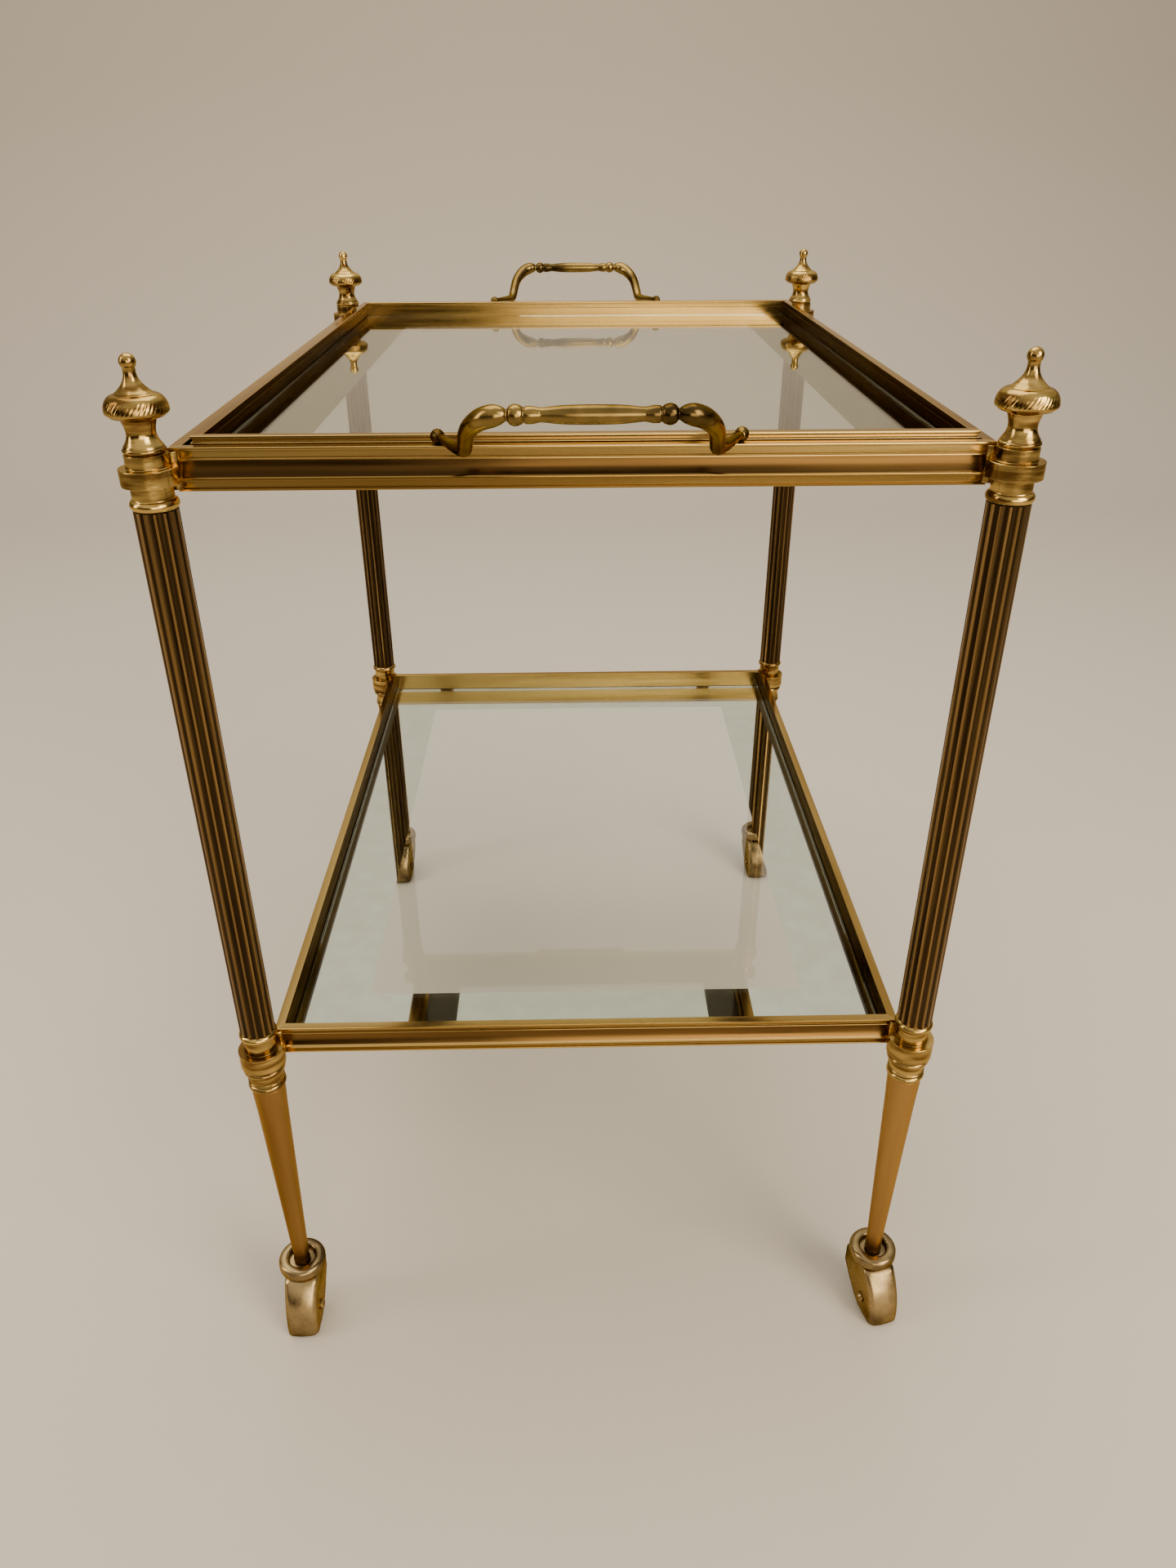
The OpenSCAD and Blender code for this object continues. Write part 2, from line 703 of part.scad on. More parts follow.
caster_hood(BR);  // caster_hood_br
caster_kingpin(FL);  // caster_kingpin_fl
caster_kingpin(FR);  // caster_kingpin_fr
caster_kingpin(BL);  // caster_kingpin_bl
caster_kingpin(BR);  // caster_kingpin_br
caster_axle(FL);  // caster_axle_fl
caster_axle(FR);  // caster_axle_fr
caster_axle(BL);  // caster_axle_bl
caster_axle(BR);  // caster_axle_br
caster_wheel(FL);  // caster_wheel_fl
caster_wheel(FR);  // caster_wheel_fr
caster_wheel(BL);  // caster_wheel_bl
caster_wheel(BR);  // caster_wheel_br
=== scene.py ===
# %% [markdown]
# # A brass dessert trolley
# Four turned posts on swivel casters carry two moulded frames. The lower frame holds a glass
# shelf and the upper one a loose glazed tray with two cast handles. The CAD model fixes every
# size and place. These cells give it finer edges, its hand-made details and its finishes.

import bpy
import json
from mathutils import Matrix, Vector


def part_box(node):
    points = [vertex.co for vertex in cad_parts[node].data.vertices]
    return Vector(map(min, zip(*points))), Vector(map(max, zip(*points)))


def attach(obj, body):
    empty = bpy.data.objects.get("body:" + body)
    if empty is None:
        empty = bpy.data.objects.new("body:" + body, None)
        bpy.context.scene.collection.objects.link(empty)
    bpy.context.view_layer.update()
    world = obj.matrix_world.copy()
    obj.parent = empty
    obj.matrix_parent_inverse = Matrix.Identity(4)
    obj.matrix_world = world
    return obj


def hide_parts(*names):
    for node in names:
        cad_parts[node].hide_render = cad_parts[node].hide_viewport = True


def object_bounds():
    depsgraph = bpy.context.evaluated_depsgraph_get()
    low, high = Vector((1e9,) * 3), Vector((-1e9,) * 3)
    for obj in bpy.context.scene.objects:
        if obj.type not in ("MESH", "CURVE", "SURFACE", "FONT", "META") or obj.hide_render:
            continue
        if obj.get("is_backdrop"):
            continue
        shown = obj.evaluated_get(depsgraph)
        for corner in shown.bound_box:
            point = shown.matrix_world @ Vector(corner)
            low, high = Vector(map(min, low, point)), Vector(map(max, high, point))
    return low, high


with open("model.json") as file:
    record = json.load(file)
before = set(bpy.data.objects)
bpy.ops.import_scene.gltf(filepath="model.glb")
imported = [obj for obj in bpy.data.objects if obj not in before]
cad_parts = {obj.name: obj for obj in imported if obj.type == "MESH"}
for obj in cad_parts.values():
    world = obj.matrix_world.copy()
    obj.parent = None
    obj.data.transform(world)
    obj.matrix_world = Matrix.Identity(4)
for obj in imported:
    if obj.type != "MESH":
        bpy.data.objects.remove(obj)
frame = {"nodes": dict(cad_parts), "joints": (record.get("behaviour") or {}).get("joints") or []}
cad_low, cad_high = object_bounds()

# %% [markdown]
# Blender works in metres and a furniture maker in millimetres, so one number turns the
# second into the first. Everything else that the script needs comes with Blender.

# %% Tools and units
import json
import math

import bmesh
import bpy
from mathutils import Matrix, Vector

MM = 0.001
CORNERS = ("fl", "fr", "bl", "br")
SIDES = ("front", "right", "back", "left")
scene = bpy.context.scene
print("Blender", bpy.app.version_string)

# %% [markdown]
# ## Camera
# The place and the lens were solved from straight edges and turned rings in the photograph.
# A camera looks along its own -Z, so it is tipped up by a right angle less the pitch, then
# turned by the yaw. The small roll comes first, about the line of sight.

# %% Camera
CAMERA_PLACE = (-0.0079, -0.7974, 0.7211)
YAW, PITCH, ROLL = (math.radians(a) for a in (-0.972, 29.573, -0.229))
FOCAL_PIXELS = 1372.3
LONG_SIDE_PIXELS = 1920

camera_data = bpy.data.cameras.new("Camera")
camera_data.sensor_width = 36
camera_data.lens = FOCAL_PIXELS / LONG_SIDE_PIXELS * camera_data.sensor_width
camera = bpy.data.objects.new("Camera", camera_data)
scene.collection.objects.link(camera)
camera.matrix_world = (
    Matrix.Translation(CAMERA_PLACE)
    @ Matrix.Rotation(YAW, 4, "Z")
    @ Matrix.Rotation(math.pi / 2 - PITCH, 4, "X")
    @ Matrix.Rotation(ROLL, 4, "Z")
)
scene.camera = camera
print(f"lens {camera_data.lens:.2f} mm")

# %% [markdown]
# ## Colours and nodes
# A maker picks a colour as an sRGB code, as a screen shows it, but light adds up in linear
# values, so one function turns the first into the second. A material is a small graph of
# nodes. One more function adds a node with its settings and links, and builds them all.

# %% Material helpers
def srgb(code):
    """Turns a colour such as c69a4e into the linear values that shaders use."""
    channels = [int(code[i : i + 2], 16) / 255 for i in (0, 2, 4)]
    linear = [c / 12.92 if c <= 0.04045 else ((c + 0.055) / 1.055) ** 2.4 for c in channels]
    return (*linear, 1.0)


def add(tree, kind, settings=None, links=None):
    """Adds a node, sets its properties and sockets, and links sockets to its inputs."""
    made = tree.nodes.new(kind)
    for key, value in (settings or {}).items():
        if isinstance(key, int) or key in made.inputs:
            made.inputs[key].default_value = value
        else:
            setattr(made, key, value)
    for key, source in (links or {}).items():
        tree.links.new(source, made.inputs[key])
    return made


def new_material(name):
    """A named material with an empty node tree and its output."""
    material = bpy.data.materials.new(name)
    material.use_nodes = True
    material.node_tree.nodes.clear()
    return material, material.node_tree, material.node_tree.nodes.new("ShaderNodeOutputMaterial")


print("c69a4e in linear light:", [round(value, 3) for value in srgb("c69a4e")[:3]])

# %% [markdown]
# ## Floor
# The trolley stands on a wide roll of pale paper that curves up behind it, so that no corner
# shows. A line of points runs along the floor and round a quarter circle, and an extrusion
# sideways makes it a sheet. Unglazed paper scatters light evenly and shows soft shadows.

# %% Floor and sweep
FLOOR_WIDTH = 14.0
FLOOR_FRONT = -3.5
SWEEP_START = 1.7
SWEEP_RADIUS = 0.9
SWEEP_TOP = 1.35
SWEEP_STEPS = 12


def quarter(steps):
    """The angles of a quarter turn in equal steps, without the first."""
    return [math.pi / 2 * i / steps for i in range(1, steps + 1)]


def new_verts(grown):
    """The vertices that an extrusion made."""
    return [g for g in grown["geom"] if isinstance(g, bmesh.types.BMVert)]


paper, tree, output = new_material("pale_studio_paper")
paper_shader = add(
    tree, "ShaderNodeBsdfPrincipled", {"Base Color": srgb("bfb5a6"), "Roughness": 0.75}
)
tree.links.new(paper_shader.outputs[0], output.inputs["Surface"])

floor_line = [(FLOOR_FRONT, 0), (SWEEP_START, 0)]
floor_line += [
    (SWEEP_START + SWEEP_RADIUS * math.sin(a), SWEEP_RADIUS * (1 - math.cos(a)))
    for a in quarter(SWEEP_STEPS)
]
floor_line.append((SWEEP_START + SWEEP_RADIUS, SWEEP_TOP))
bm = bmesh.new()
line = [bm.verts.new((-FLOOR_WIDTH / 2, y, z)) for y, z in floor_line]
for pair in zip(line, line[1:]):
    bm.edges.new(pair)
grown = bmesh.ops.extrude_edge_only(bm, edges=bm.edges[:])
bmesh.ops.translate(bm, verts=new_verts(grown), vec=(FLOOR_WIDTH, 0, 0))
bmesh.ops.recalc_face_normals(bm, faces=bm.faces)
floor_mesh = bpy.data.meshes.new("studio_floor")
bm.to_mesh(floor_mesh)
bm.free()
floor_mesh.shade_smooth()
floor_mesh.materials.append(paper)
studio_floor = bpy.data.objects.new("studio_floor", floor_mesh)
scene.collection.objects.link(studio_floor)
studio_floor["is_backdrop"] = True
print("floor", FLOOR_WIDTH, "m wide, in", len(floor_mesh.polygons), "strips")

# %% [markdown]
# ## Light
# Polished brass is mostly a picture of the room round it. Under even light it turns into flat
# yellow paint, so the studio gives it something to show: large soft lamps for the bright
# bands, and a world that is dark at the horizon for the brown ones.

# %% Lamps
def lamp(name, place, aim, size, power, colour, spread):
    """A soft rectangular lamp at a place, aimed at a point, in metres and watts. The spread is
    the angle in degrees that the grid before it lets through."""
    data = bpy.data.lights.new(name, "AREA")
    data.shape = "RECTANGLE"
    data.size, data.size_y = size
    data.energy = power
    data.color = srgb(colour)[:3]
    data.spread = math.radians(spread)
    light = bpy.data.objects.new(name, data)
    scene.collection.objects.link(light)
    light.location = place
    light.rotation_euler = (Vector(aim) - Vector(place)).to_track_quat("-Z", "Y").to_euler()


MIDDLE = (0, 0, 0.4)
lamp("window_lamp", (1.5, -1.5, 1.5), MIDDLE, (1.1, 1.5), 17, "fff4e2", 100)
lamp("left_lamp", (-1.9, -0.5, 1.3), MIDDLE, (0.5, 1.6), 16, "ffeeda", 180)
lamp("far_lamp", (1.1, -3.0, 0.9), (0.1, 0, 0.6), (2.7, 1.5), 18, "fff2dc", 90)
lamp("ceiling_lamp", (-0.2, 0.5, 2.3), MIDDLE, (1.8, 1.6), 32, "fff8ee", 180)

# %% [markdown]
# The world is the rest of the room. A ramp over the height of the view gives it a dim floor, a
# dark horizon and a pale ceiling. The brass mirrors these bands, but past the floor's edge the
# eye should meet plain paper, so what the camera sees straight on has one colour of its own.

# %% World
WORLD_BANDS = [
    (0.0, "8d8375"), (0.44, "564a3c"), (0.52, "33291f"), (0.58, "5c5042"), (0.66, "e6dccb"),
    (1.0, "f4efe6"),
]

world = bpy.data.worlds.new("soft_room")
scene.world = world
world.use_nodes = True
tree = world.node_tree
tree.nodes.clear()
view_direction = add(tree, "ShaderNodeTexCoord").outputs["Generated"]
split = add(tree, "ShaderNodeSeparateXYZ", links={0: view_direction})
height = add(
    tree, "ShaderNodeMapRange", {"From Min": -1.0, "From Max": 1.0}, {0: split.outputs["Z"]}
)
ramp = add(tree, "ShaderNodeValToRGB", links={0: height.outputs[0]})
while len(ramp.color_ramp.elements) < len(WORLD_BANDS):
    ramp.color_ramp.elements.new(0.5)
for element, (position, code) in zip(ramp.color_ramp.elements, WORLD_BANDS):
    element.position = position
    element.color = srgb(code)
# The sides of the room are darker than its ends, which gives the posts their dark edges.
aside = add(tree, "ShaderNodeMath", {"operation": "ABSOLUTE"}, {0: split.outputs["X"]})
strength = add(
    tree, "ShaderNodeMapRange",
    {"From Min": 0.45, "From Max": 0.95, "To Min": 1.15, "To Max": 0.4}, {0: aside.outputs[0]},
)
background = add(
    tree, "ShaderNodeBackground", links={"Color": ramp.outputs[0], "Strength": strength.outputs[0]}
)
backdrop = add(tree, "ShaderNodeBackground", {"Color": srgb("aca294")})
seen = add(
    tree, "ShaderNodeMixShader",
    links={0: add(tree, "ShaderNodeLightPath").outputs["Is Camera Ray"],
           1: background.outputs[0], 2: backdrop.outputs[0]},
)
add(tree, "ShaderNodeOutputWorld", links={"Surface": seen.outputs[0]})
print("world bands:", len(WORLD_BANDS))

# %% [markdown]
# ## Brass
# Brass is a bare metal, so its colour is the colour of its mirror image. New it is a pale
# yellow. Years of handling leave it deeper and uneven, brown in the hollows that no cloth
# reaches, and duller where it is touched. One function makes every brass here: a slow noise
# drifts between two tones, an occlusion node finds the hollows, and two fine noises vary the
# gloss and the surface. The tones, the gloss, the hollows' reach, the run of the marks and the
# tint of glancing reflections differ from piece to piece.

# %% Brass maker
# Marks per metre: tarnish drifts over about 30 mm, cloudy handling marks are about 5 mm across,
# and the grain of the surface is 0.7 mm, coarser than the real one so that it shows.
TARNISH_SCALE, CLOUD_SCALE, GRAIN_SCALE = 33.0, 200.0, 1400.0
WAVE_HEIGHT = 0.4 * MM
LENGTHWISE = {"x": (0.05, 1, 1), "y": (1, 0.05, 1), "z": (1, 1, 0.05)}


def brass(
    name, light, deep, patina_and_shade, gloss, hollow, hollow_share, wave=0.06, darkened_by=None,
    stretch=(1, 1, 1), edge="ffffff",
):
    """Aged brass. The tones are sRGB codes, gloss a pair of roughness values, and hollow the
    reach in millimetres from which a wall darkens a hollow. A piece that carries its own
    depths, in a mesh attribute, gives its name instead. A stretch under 1 draws the marks out
    along that axis, as they are on a bar polished lengthwise, and one over 1 packs them. The
    edge is the tint of a glancing reflection: white on clean metal, brown on a bronzed one."""
    material, tree, output = new_material(name)
    mapped = add(
        tree, "ShaderNodeMapping", {"Scale": stretch},
        {0: add(tree, "ShaderNodeTexCoord").outputs["Object"]},
    )
    place = mapped.outputs[0]
    drift = add(
        tree, "ShaderNodeTexNoise", {"Scale": TARNISH_SCALE, "Detail": 3.0}, {"Vector": place}
    )
    cloud = add(
        tree, "ShaderNodeTexNoise", {"Scale": CLOUD_SCALE, "Detail": 4.0}, {"Vector": place}
    )
    fine = add(
        tree, "ShaderNodeTexNoise", {"Scale": GRAIN_SCALE, "Detail": 2.0}, {"Vector": place}
    )
    tone = add(
        tree, "ShaderNodeMapRange", {"From Min": 0.38, "From Max": 0.62}, {0: drift.outputs["Fac"]}
    )
    body = add(
        tree, "ShaderNodeMix", {"data_type": "RGBA", 6: srgb(light), 7: srgb(deep)},
        {0: tone.outputs[0]},
    )
    # A depth attribute, where a piece gives one, mixes in the hollow colour by depth: on the fluted
    # columns this is painted shade, with some patina.
    if darkened_by:
        sunk = add(tree, "ShaderNodeAttribute", {"attribute_name": darkened_by})
        depth = add(
            tree, "ShaderNodeMapRange",
            {"From Min": 0.08, "From Max": 0.75, "To Min": 0.0, "To Max": hollow_share},
            {0: sunk.outputs["Fac"]},
        )
    else:
        corner = add(
            tree, "ShaderNodeAmbientOcclusion",
            {"samples": 8, "only_local": True, "Distance": hollow * MM},
        )
        depth = add(
            tree, "ShaderNodeMapRange",
            {"From Min": 0.25, "From Max": 0.85, "To Min": hollow_share, "To Max": 0.0},
            {0: corner.outputs["AO"]},
        )
    # The patina is broken up a little where the handling marks are.
    patches = add(
        tree, "ShaderNodeMapRange",
        {"From Min": 0.3, "From Max": 0.6, "To Min": 0.82, "To Max": 1.0},
        {0: cloud.outputs["Fac"]},
    )
    broken = add(
        tree, "ShaderNodeMath", {"operation": "MULTIPLY"},
        {0: depth.outputs[0], 1: patches.outputs[0]},
    )
    aged_and_shaded = add(
        tree, "ShaderNodeMix", {"data_type": "RGBA", 7: srgb(patina_and_shade)},
        {0: broken.outputs[0], 6: body.outputs[2]},
    )
    rough = add(
        tree, "ShaderNodeMapRange",
        {"From Min": 0.32, "From Max": 0.70, "To Min": gloss[0], "To Max": gloss[1]},
        {0: cloud.outputs["Fac"]},
    )
    rougher = add(
        tree, "ShaderNodeMath", {"operation": "MULTIPLY_ADD", 1: 0.25},
        {0: broken.outputs[0], 2: rough.outputs[0]},
    )
    ripple = add(
        tree, "ShaderNodeMath", {"operation": "MULTIPLY_ADD", 1: 0.35},
        {0: fine.outputs["Fac"], 2: cloud.outputs["Fac"]},
    )
    bump = add(
        tree, "ShaderNodeBump", {"Strength": wave, "Distance": WAVE_HEIGHT},
        {"Height": ripple.outputs[0]},
    )
    shader = add(
        tree, "ShaderNodeBsdfPrincipled", {"Metallic": 1.0, "Specular Tint": srgb(edge)},
        {"Base Color": aged_and_shaded.outputs[2], "Roughness": rougher.outputs[0], "Normal": bump.outputs[0]},
    )
    tree.links.new(shader.outputs[0], output.inputs["Surface"])
    return material


# %% [markdown]
# The same metal looks different on each piece, because of how the piece was made and cleaned.
# Bars were drawn and are rubbed lengthwise, lathe work carries rings, castings were darkened on
# purpose, and a wheel is scuffed by the floor.

# %% Brass finishes
# Drawn bars polished lengthwise: long soft streaks, and lips that mirror the lamps.
polished = {
    way: brass(
        f"polished_aged_brass_{way}", "c8a966", "93733a", "2c1d0b", (0.10, 0.20), 3.0, 0.85, 0.04,
        stretch=LENGTHWISE[way], edge="fff2dc",
    )
    for way in "xy"
}
# Inner walls of the side bars only: a darker brown, half dull mirror.
dark_side_wall = brass(
    "dark_side_inner_wall", "5c4a2c", "2e2415", "0f0a05", (0.24, 0.38), 2, 0.6, 0.05,
    stretch=LENGTHWISE["y"], edge="b4aa9c",
)
# The hollow along a rail's face, between two rubbed lips: some tarnish, and a darker tone that is a
# painted dark reflection.
cove_tarnish_and_painted_dark = {
    way: brass(
        f"cove_tarnish_and_painted_reflection_{way}", "7c5c2f", "3e2c16", "1a0f06", (0.14, 0.26), 3, 0.8, 0.04,
        stretch=LENGTHWISE[way], edge="d8c09a",
    )
    for way in "xy"
}
# Tapered legs, satin from wear: one broad, soft highlight.
drawn = brass(
    "drawn_aged_brass", "a67f48", "75522a", "3a2a12", (0.26, 0.36), 2, 0.6, 0.04,
    stretch=LENGTHWISE["z"], edge="f0dcb4",
)
# Lathe work: marks packed into rings, bright ridges and brown grooves.
turned_brass = brass(
    "turned_aged_brass", "c2a25c", "6e5127", "241707", (0.10, 0.24), 3, 0.85, 0.05,
    stretch=(1, 1, 7), edge="f4e4c4",
)
# Fluted tube: narrow rubbed ridges between hollows painted almost black: painted shade, with some
# patina.
fluted = brass(
    "fluted_brass_patina_and_painted_shade", "84673c", "4a371e", "150d07", (0.16, 0.30), 0, 0.9, 0.04,
    darkened_by="flute_depth", stretch=LENGTHWISE["z"],
)
# Antiqued castings of the casters: a greyer brown with a duller shine.
antique = brass(
    "antique_cast_brass", "a48c60", "5a4a32", "1a140d", (0.20, 0.34), 1.5, 0.7, 0.015,
    edge="c8b48c",
)
# Bronzed castings of the handles: dark brown that stays brown at a glancing angle.
bronzed = brass(
    "bronzed_cast_brass", "866e3c", "41331b", "140d07", (0.16, 0.28), 3, 0.85, 0.03, edge="cdb69c"
)
# Wheels scuffed by the floor: dull, with no clear reflection.
wheel_metal = brass("worn_turned_brass", "a08852", "6f5a34", "2b2010", (0.28, 0.42), 4, 0.9, 0.06)
# Pins of oiled steel: grey, with a dull shine.
dark_steel = brass("darkened_steel", "8c8a86", "6c6964", "2b2622", (0.30, 0.42), 4, 0.6)
print("materials so far:", len(bpy.data.materials))

# %% [markdown]
# ## Glass
# Both panes are clear float glass, faintly green, and each has a silvered border on its
# underside like a mirror's back, round a clear middle. From above the silver is a greenish
# mirror, seen through the glass. From below there is only the dark paint that protects it.

# %% Glass and silver
# Float glass: a sharp mirror and a clear view, but for faint smears about 25 mm across.
glass, tree, output = new_material("clear_float_glass")
place = add(tree, "ShaderNodeTexCoord").outputs["Object"]
smear = add(tree, "ShaderNodeTexNoise", {"Scale": 40.0, "Detail": 5.0}, {"Vector": place})
film = add(
    tree, "ShaderNodeMapRange",
    {"From Min": 0.4, "From Max": 0.75, "To Min": 0.0, "To Max": 0.035}, {0: smear.outputs["Fac"]},
)
glass_shader = add(
    tree, "ShaderNodeBsdfPrincipled",
    {"Base Color": srgb("f1f6f1"), "IOR": 1.5, "Transmission Weight": 1.0},
    {"Roughness": film.outputs[0]},
)
tree.links.new(glass_shader.outputs[0], output.inputs["Surface"])

# Silver laid on glass: a pale mirror that has clouded in patches about 17 mm across.
silver, tree, output = new_material("silvered_glass_back")
place = add(tree, "ShaderNodeTexCoord").outputs["Object"]
age = add(tree, "ShaderNodeTexNoise", {"Scale": 60.0, "Detail": 6.0}, {"Vector": place})
tone = add(
    tree, "ShaderNodeMapRange", {"From Min": 0.35, "From Max": 0.75}, {0: age.outputs["Fac"]}
)
colour = add(
    tree, "ShaderNodeMix", {"data_type": "RGBA", 6: srgb("e2e1d2"), 7: srgb("d9d8c6")},
    {0: tone.outputs[0]},
)
film = add(
    tree, "ShaderNodeMapRange",
    {"From Min": 0.4, "From Max": 0.8, "To Min": 0.008, "To Max": 0.03}, {0: age.outputs["Fac"]},
)
silver_shader = add(
    tree, "ShaderNodeBsdfPrincipled", {"Metallic": 1.0},
    {"Base Color": colour.outputs[2], "Roughness": film.outputs[0]},
)
tree.links.new(silver_shader.outputs[0], output.inputs["Surface"])

# Brushed backing paint: matt dark brown, a little uneven every 11 mm.
backing, tree, output = new_material("mirror_backing_paint")
place = add(tree, "ShaderNodeTexCoord").outputs["Object"]
brush = add(tree, "ShaderNodeTexNoise", {"Scale": 90.0, "Detail": 4.0}, {"Vector": place})
colour = add(
    tree, "ShaderNodeMix", {"data_type": "RGBA", 6: srgb("3d3327"), 7: srgb("5a4d3c")},
    {0: brush.outputs["Fac"]},
)
backing_shader = add(
    tree, "ShaderNodeBsdfPrincipled", {"Roughness": 0.6}, {"Base Color": colour.outputs[2]}
)
tree.links.new(backing_shader.outputs[0], output.inputs["Surface"])
print("finishes:", [m.name for m in bpy.data.materials])

# %% [markdown]
# ## Setting a piece down
# Every new piece ends the same way: doubles merged, normals outward, smooth shading that
# breaks at real edges, and a fine bevel there, because no turned or cast edge is razor sharp
# and the bevel is what catches the light. Then it rides on its body and hides the CAD node
# that it stands for. A piece that the CAD model lacks hides none.

# %% Finish a piece
MERGE = 0.002 * MM
BEVEL_STEPS = 2
FLAT_WEIGHT = 60


def set_down(bm, name, body, material, node, edge_round=0.25, crease=35):
    """Makes the bmesh a finished object that rides on a body and replaces a CAD node, if it has
    one. The edge's round is in millimetres, and an edge sharper than the crease gets it."""
    bmesh.ops.remove_doubles(bm, verts=bm.verts, dist=MERGE)
    bmesh.ops.recalc_face_normals(bm, faces=bm.faces)
    mesh = bpy.data.meshes.new(name)
    bm.to_mesh(mesh)
    bm.free()
    mesh.shade_smooth()
    mesh.set_sharp_from_angle(angle=math.radians(crease))
    for metal in material if isinstance(material, list) else [material]:
        mesh.materials.append(metal)
    piece = bpy.data.objects.new(name, mesh)
    scene.collection.objects.link(piece)
    if edge_round:
        bevel = piece.modifiers.new("edge_round", "BEVEL")
        bevel.limit_method = "ANGLE"
        bevel.angle_limit = math.radians(crease)
        bevel.width = edge_round * MM
        bevel.segments = BEVEL_STEPS
    # Large faces keep their own direction, and the small round between two takes the turn.
    normals = piece.modifiers.new("flat_faces", "WEIGHTED_NORMAL")
    normals.keep_sharp = True
    normals.weight = FLAT_WEIGHT
    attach(piece, body)
    if node:
        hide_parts(node)
    return piece


def post_axis(corner):
    """The post's axis, from the middle of its fluted column."""
    low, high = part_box(f"column_{corner}")
    return (low + high) / 2


print("front left post at", [round(v / MM, 1) for v in post_axis("fl")[:2]], "mm")

# %% [markdown]
# ## Turned parts
# Finials, collars, legs, cups and wheels come off a lathe, so each is an outline spun round
# its axis. An outline is a list of radius and height in millimetres, from the foot's middle
# to the top's middle. A bead is a half round that stands out of the surface, and a hollow
# curve is cut with a tool that swings as it climbs.

# %% Lathe helpers
LATHE_STEPS = 96


def bead(low, high, radius, steps=8):
    """Outline points of a half-round bead between two heights."""
    half = (high - low) / 2
    turns = [math.pi * (i / steps - 0.5) for i in range(steps + 1)]
    return [(radius - half + half * math.cos(a), low + half + half * math.sin(a)) for a in turns]


def arc(x, z, radius, first, last, steps):
    """Outline points on an arc, between two angles in degrees."""
    turns = [math.radians(first + (last - first) * i / steps) for i in range(steps + 1)]
    return [(x + radius * math.cos(a), z + radius * math.sin(a)) for a in turns]


def slow_end(share):
    """A share of the way that is run through fast at first."""
    return math.sin(math.pi / 2 * share)


def slow_start(share):
    """A share of the way that is run through fast at last."""
    return 1 - math.cos(math.pi / 2 * share)


def curve(first, last, steps, pace):
    """Outline points after the first and up to the last. The radius follows the pace."""
    (first_r, first_z), (last_r, last_z) = first, last
    shares = [i / steps for i in range(1, steps + 1)]
    return [
        (first_r + (last_r - first_r) * pace(s), first_z + (last_z - first_z) * s) for s in shares
    ]


def lathe(outline, steps=LATHE_STEPS):
    """Spins an outline round Z and returns the closed bmesh."""
    bm = bmesh.new()
    profile = [bm.verts.new((max(r, 0) * MM, 0, z * MM)) for r, z in outline]
    edges = [bm.edges.new(pair) for pair in zip(profile, profile[1:])]
    bmesh.ops.spin(
        bm, geom=profile + edges, cent=(0, 0, 0), axis=(0, 0, 1), angle=2 * math.pi, steps=steps,
        use_merge=True,
    )
    bmesh.ops.remove_doubles(bm, verts=bm.verts, dist=MERGE)
    return bm


def stand(bm, corner, foot_node):
    """Moves a lathe-turned bmesh to a post, with its zero height at the node's foot."""
    axis = post_axis(corner)
    bmesh.ops.translate(bm, verts=bm.verts, vec=(axis.x, axis.y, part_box(foot_node)[0].z))


print("a bead 5 mm high:", [(round(r, 1), round(z, 1)) for r, z in bead(0, 5, 10, 4)])

# %% [markdown]
# ## Finials
# Each post ends in a finial: a foot ring, a waisted neck, a broad disc with a domed shoulder,
# a hollow cone and a small ball. The shoulder carries fine slanting reeds, like rope. They
# are moved in the mesh, a ridge every few degrees that slips sideways as it climbs. The real
# ones are finer, and are drawn as coarse as they need to be to show.

# %% Finials
REEDS, STEPS_PER_REED = 44, 6
REED_DEPTH = 0.15
REED_LOW, REED_HIGH = 17.8, 24.0
REED_INNER_R = 9
REED_SLIP = 13
REED_FADE = 6
DOME_STEPS = 28

finial_outline = (
    [(0, 0), (9.1, 0)]
    + arc(8.6, 1.65, 1.2, -60, 60, 8)
    + [(9.1, 3.0), (9.0, 3.4)]
    + curve((8.8, 3.6), (6.6, 9), 10, slow_end)
    + curve((6.6, 9), (8.1, 15.1), 10, slow_start)
    + [(8.7, 15.5), (12.1, 16.3)]
    + arc(12.5, 18.9, 1.7, -75, 0, 8)
    + [(9 + 5.2 * math.cos(a), 18.9 + 7 * math.sin(a)) for a in quarter(DOME_STEPS)]
    + [(8.75, 26.0), (8.5, 26.3)]
    + curve((8.5, 26.3), (2.8, 35), 14, lambda share: 1 - (1 - share) ** 2)
    + arc(0, 39.4, 3.7, -41, 90, 18)
)


def reed(bm):
    """Cuts slanting reeds into the shoulder, fading out at its lower and upper edge."""
    for vertex in bm.verts:
        radius = math.hypot(vertex.co.x, vertex.co.y)
        rise = (vertex.co.z / MM - REED_LOW) / (REED_HIGH - REED_LOW)
        if 0 < rise < 1 and radius > REED_INNER_R * MM:
            turn = math.atan2(vertex.co.y, vertex.co.x)
            fade = min(1.0, REED_FADE * rise, REED_FADE * (1 - rise))
            wave = (math.cos(REEDS * turn - REED_SLIP * rise) - 1) / 2
            scale = 1 + REED_DEPTH * MM * fade * wave / radius
            vertex.co.x *= scale
            vertex.co.y *= scale


for corner in CORNERS:
    bm = lathe(finial_outline, steps=REEDS * STEPS_PER_REED)
    reed(bm)
    stand(bm, corner, f"finial_{corner}")
    set_down(
        bm, f"turned_finial_{corner}", "frame", turned_brass, f"finial_{corner}",
        edge_round=0.15, crease=48,
    )

# %% [markdown]
# ## Collars and legs
# The collars are stacked drums, bands and beads. The legs taper in a straight line to a
# small foot ring, and end in a spigot that stands in the caster's cup.

